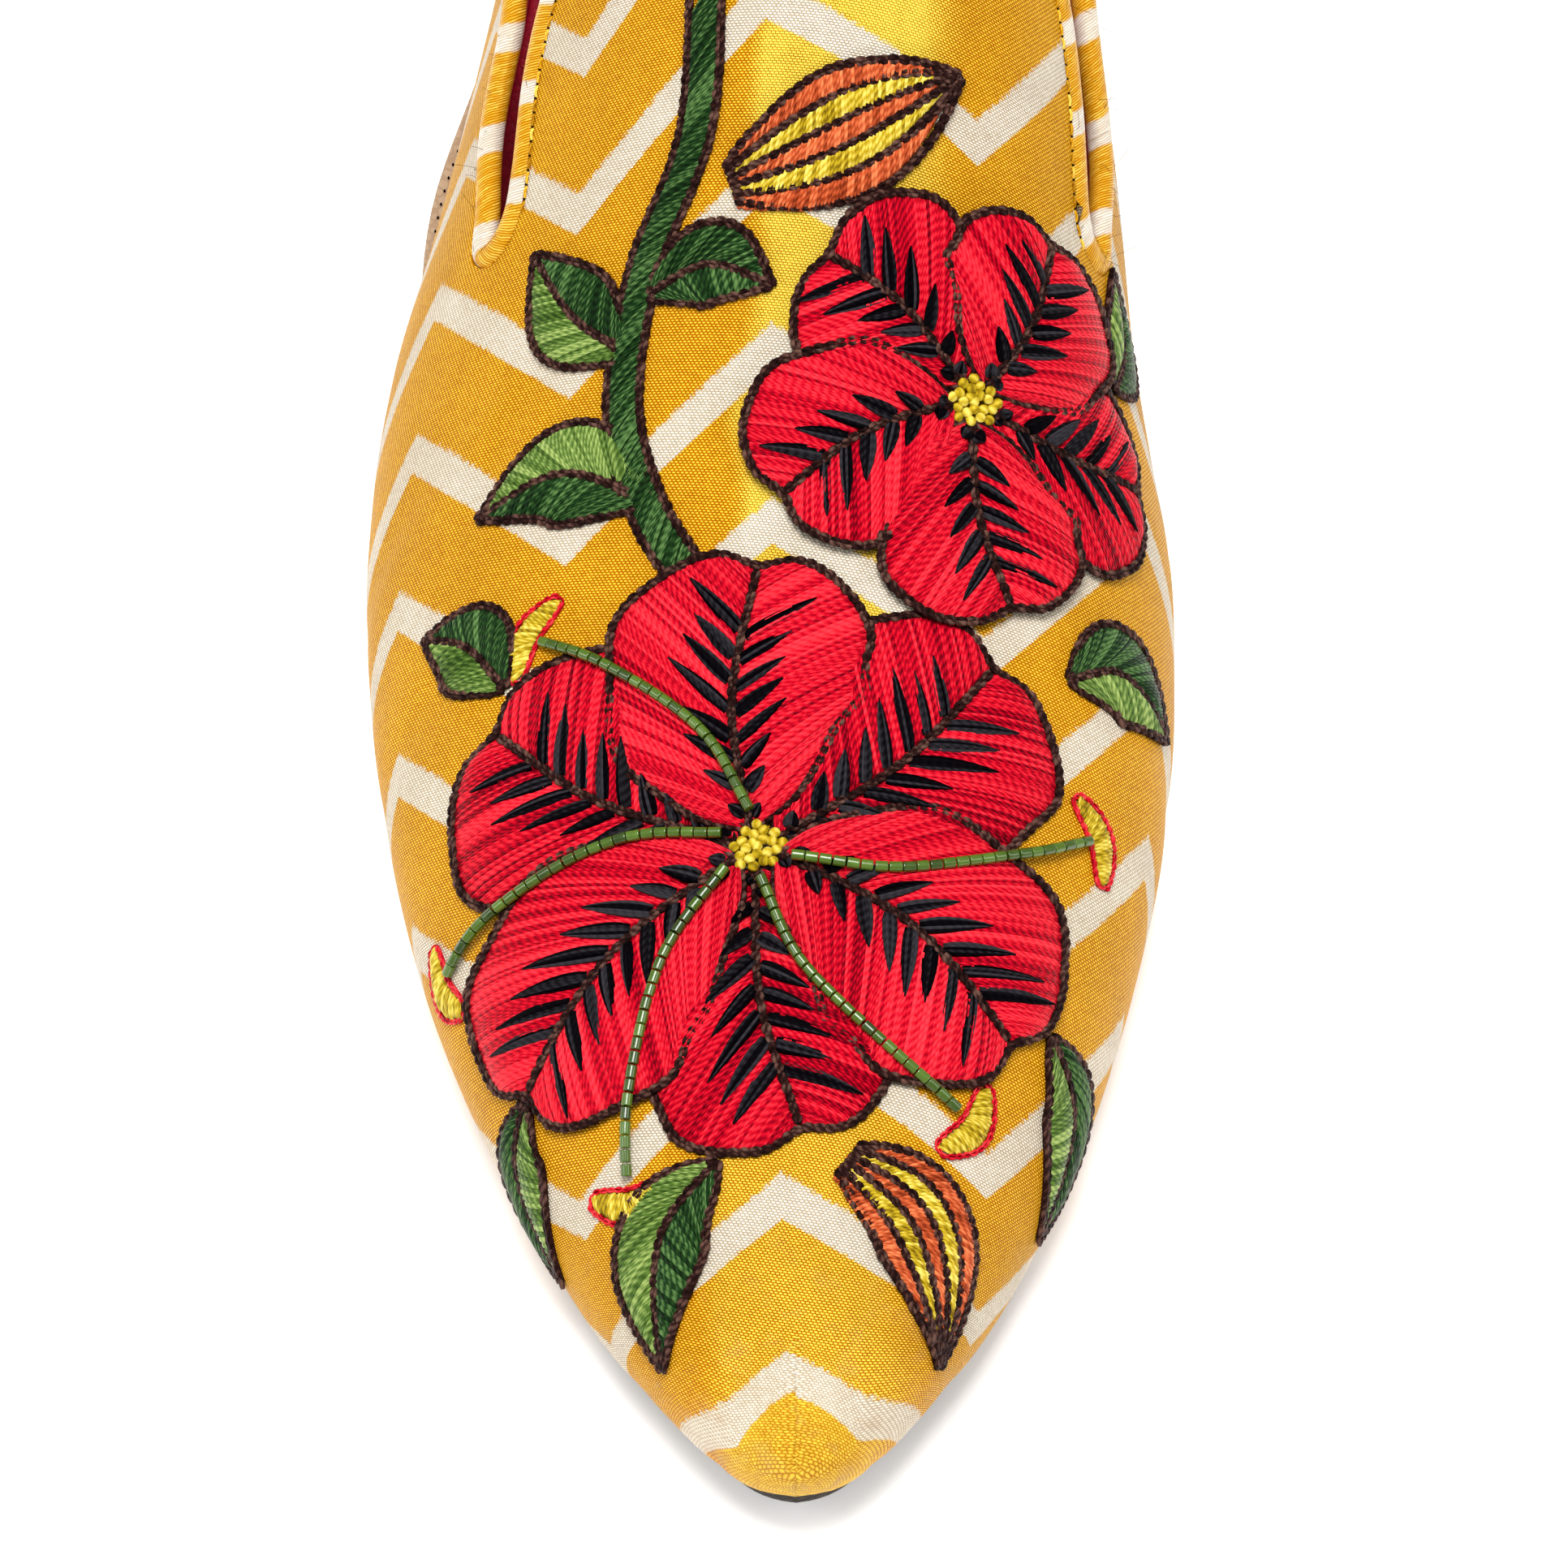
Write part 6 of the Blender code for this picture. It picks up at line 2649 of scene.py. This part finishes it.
    def bud(self, leafy: Leafy) -> None:
        """A striped bud.

        Args:
            leafy: The bud's midrib and outline.
        """
        along, out = half_width(BUD, 90)
        for i, (low, high) in enumerate(zip(self.CUTS[:-1], self.CUTS[1:])):
            colour = self.shells["lemon" if i % 2 else "rust"]
            self.needle.fill(colour, leafy.spot(np.clip(along - 0.05, 0.0, 1.0), out * low),
                             leafy.spot(along, out * high), 0.55, 0.06)
        for cut in self.CUTS:
            self.needle.chain(self.shells["brown"], leafy.spot(along, out * cut), 0.24)

    def string(self, angle: float, reach: float) -> None:
        """A string of beads from the large blossom's heart to a small outlined bean.

        Args:
            angle: Way it points from the heart, in degrees.
            reach: How far it runs.
        """
        turns = np.radians(angle + np.array([-26.0, -12.0, 0.0, 6.0]))
        reaches = np.array([0.1, 0.4, 0.75, 1.0]) * reach
        line = spline(polar(self.BLOSSOMS[0].centre, reaches, turns), 80)
        lift = np.interp(np.linspace(0.0, 1.0, 80), (0.0, 0.3, 0.8, 1.0), (2.0, 1.75, 1.4, 0.7))
        self.needle.beads(self.shells["beads"], line, lift)
        way = unit(line[-1] - line[-4])
        middle, across = line[-1] + way * self.bean_out, left_of(way) * self.bean_half
        back = way * self.bean_out
        bean = spline([middle - across - back, middle, middle + across - back], 60)
        swell = np.sin(np.linspace(0.2, math.pi - 0.2, 60)) ** 0.6
        side = aside(bean) * (self.bean_thick * swell)[:, None]
        self.needle.fill(self.shells["yellow"], (bean + side)[:-self.bean_lead],
                         (bean - side)[self.bean_lead:], 0.4, 0.05)
        outer = bean + side * 1.25
        ring = np.concatenate([outer, (bean - side * 1.25)[::-1], outer[:1]])
        self.needle.chain(self.shells["scarlet"], ring, 0.16, 0.9, 0.16, 0.18)


# ---------------------------------------------------------------- floor, light and camera


@dataclass
class Studio:
    """A pale floor, soft light and the camera."""

    eye: tuple = (0.0, -579.9, 873.0)
    aim: tuple = (1.4, -48.07, 26.2)
    lens: float = 224.0
    sensor: float = 36.0
    floor_size: float = 6.0
    glow: float = 0.5
    contact_shadow_reach: float = 0.006
    surround: float = 0.32

    def floor(self) -> None:
        """A plain pale floor with a faint tooth, glowing evenly except near the shoe, where ambient
        occlusion takes the glow away as a painted contact shadow.
        """
        net = Net("pale_floor")
        cloud = net.noise(net.place(), 60.0, 3.0)
        # Painted contact shadow: ambient occlusion darkens the floor's glow close to the shoe.
        contact_shadow_node = net.node("AmbientOcclusion", {"samples": 8}, Distance=self.contact_shadow_reach)
        open_sky = Wire(net, contact_shadow_node.outputs["AO"])
        net.set(Base_Color=net.mix(cloud, (0.95, 0.945, 0.94), (0.98, 0.975, 0.97)), Roughness=0.9,
                Emission_Color=net.mix(open_sky, (0.0, 0.0, 0.0), (1.0, 0.975, 0.95)),
                Emission_Strength=self.glow)
        size = 0.5 * self.floor_size
        mesh = bpy.data.meshes.new("floor")
        corners = [(-size, -size, 0.0), (size, -size, 0.0), (size, size, 0.0), (-size, size, 0.0)]
        mesh.from_pydata(corners, [], [(0, 1, 2, 3)])
        mesh.materials.append(net.material)
        floor = bpy.data.objects.new("floor", mesh)
        bpy.context.scene.collection.objects.link(floor)

    def lamp(self, name: str, spot: tuple, size: float, power: float) -> None:
        """A soft square lamp that faces the shoe.

        Args:
            name: Name of the lamp.
            spot: Its place, in metres.
            size: Its side, in metres.
            power: Its power, in watts.
        """
        light = bpy.data.lights.new(name, "AREA")
        light.shape = "SQUARE"
        light.size = size
        light.energy = power
        made = bpy.data.objects.new(name, light)
        made.location = spot
        made.rotation_euler = (-Vector(spot)).to_track_quat("-Z", "Y").to_euler()
        bpy.context.scene.collection.objects.link(made)

    def light(self) -> None:
        """Soft lamps and a pale surround."""
        world = bpy.data.worlds.new("studio")
        bpy.context.scene.world = world
        world.use_nodes = True
        sky = world.node_tree.nodes["Background"].inputs
        sky["Color"].default_value = (1.0, 1.0, 1.0, 1.0)
        sky["Strength"].default_value = self.surround
        self.lamp("overhead", (-0.05, -0.1, 1.35), 0.6, 20.0)
        self.lamp("left_fill", (-1.1, -0.3, 0.9), 0.5, 4.0)
        self.lamp("right_fill", (1.1, -0.3, 0.9), 0.5, 3.0)
        bpy.context.scene.view_settings.view_transform = "Standard"
        bpy.context.scene.view_settings.look = "None"

    def camera(self) -> None:
        """The camera, in front of and above the toe."""
        eye, aim = Vector(self.eye) * MM, Vector(self.aim) * MM
        data = bpy.data.cameras.new("camera")
        data.lens = self.lens
        data.sensor_width = self.sensor
        data.clip_start = 0.01
        made = bpy.data.objects.new("camera", data)
        made.location = eye
        made.rotation_euler = (aim - eye).to_track_quat("-Z", "Y").to_euler()
        bpy.context.scene.collection.objects.link(made)
        bpy.context.scene.camera = made

    def build(self) -> None:
        """Set up floor, light and camera."""
        self.floor()
        self.light()
        self.camera()


def main() -> None:
    """Build the shoe's looks around the frame."""
    logging.basicConfig(level=logging.INFO, format="%(message)s")
    Studio().build()
    last = Last()
    shape = UpperShape(last)
    Upper(shape).build()
    Binding(shape.rim(), last).build()
    Plate(last).build_all()
    Heel(last).build()
    Embroidery(last).build()


if __name__ == "__main__":
    main()
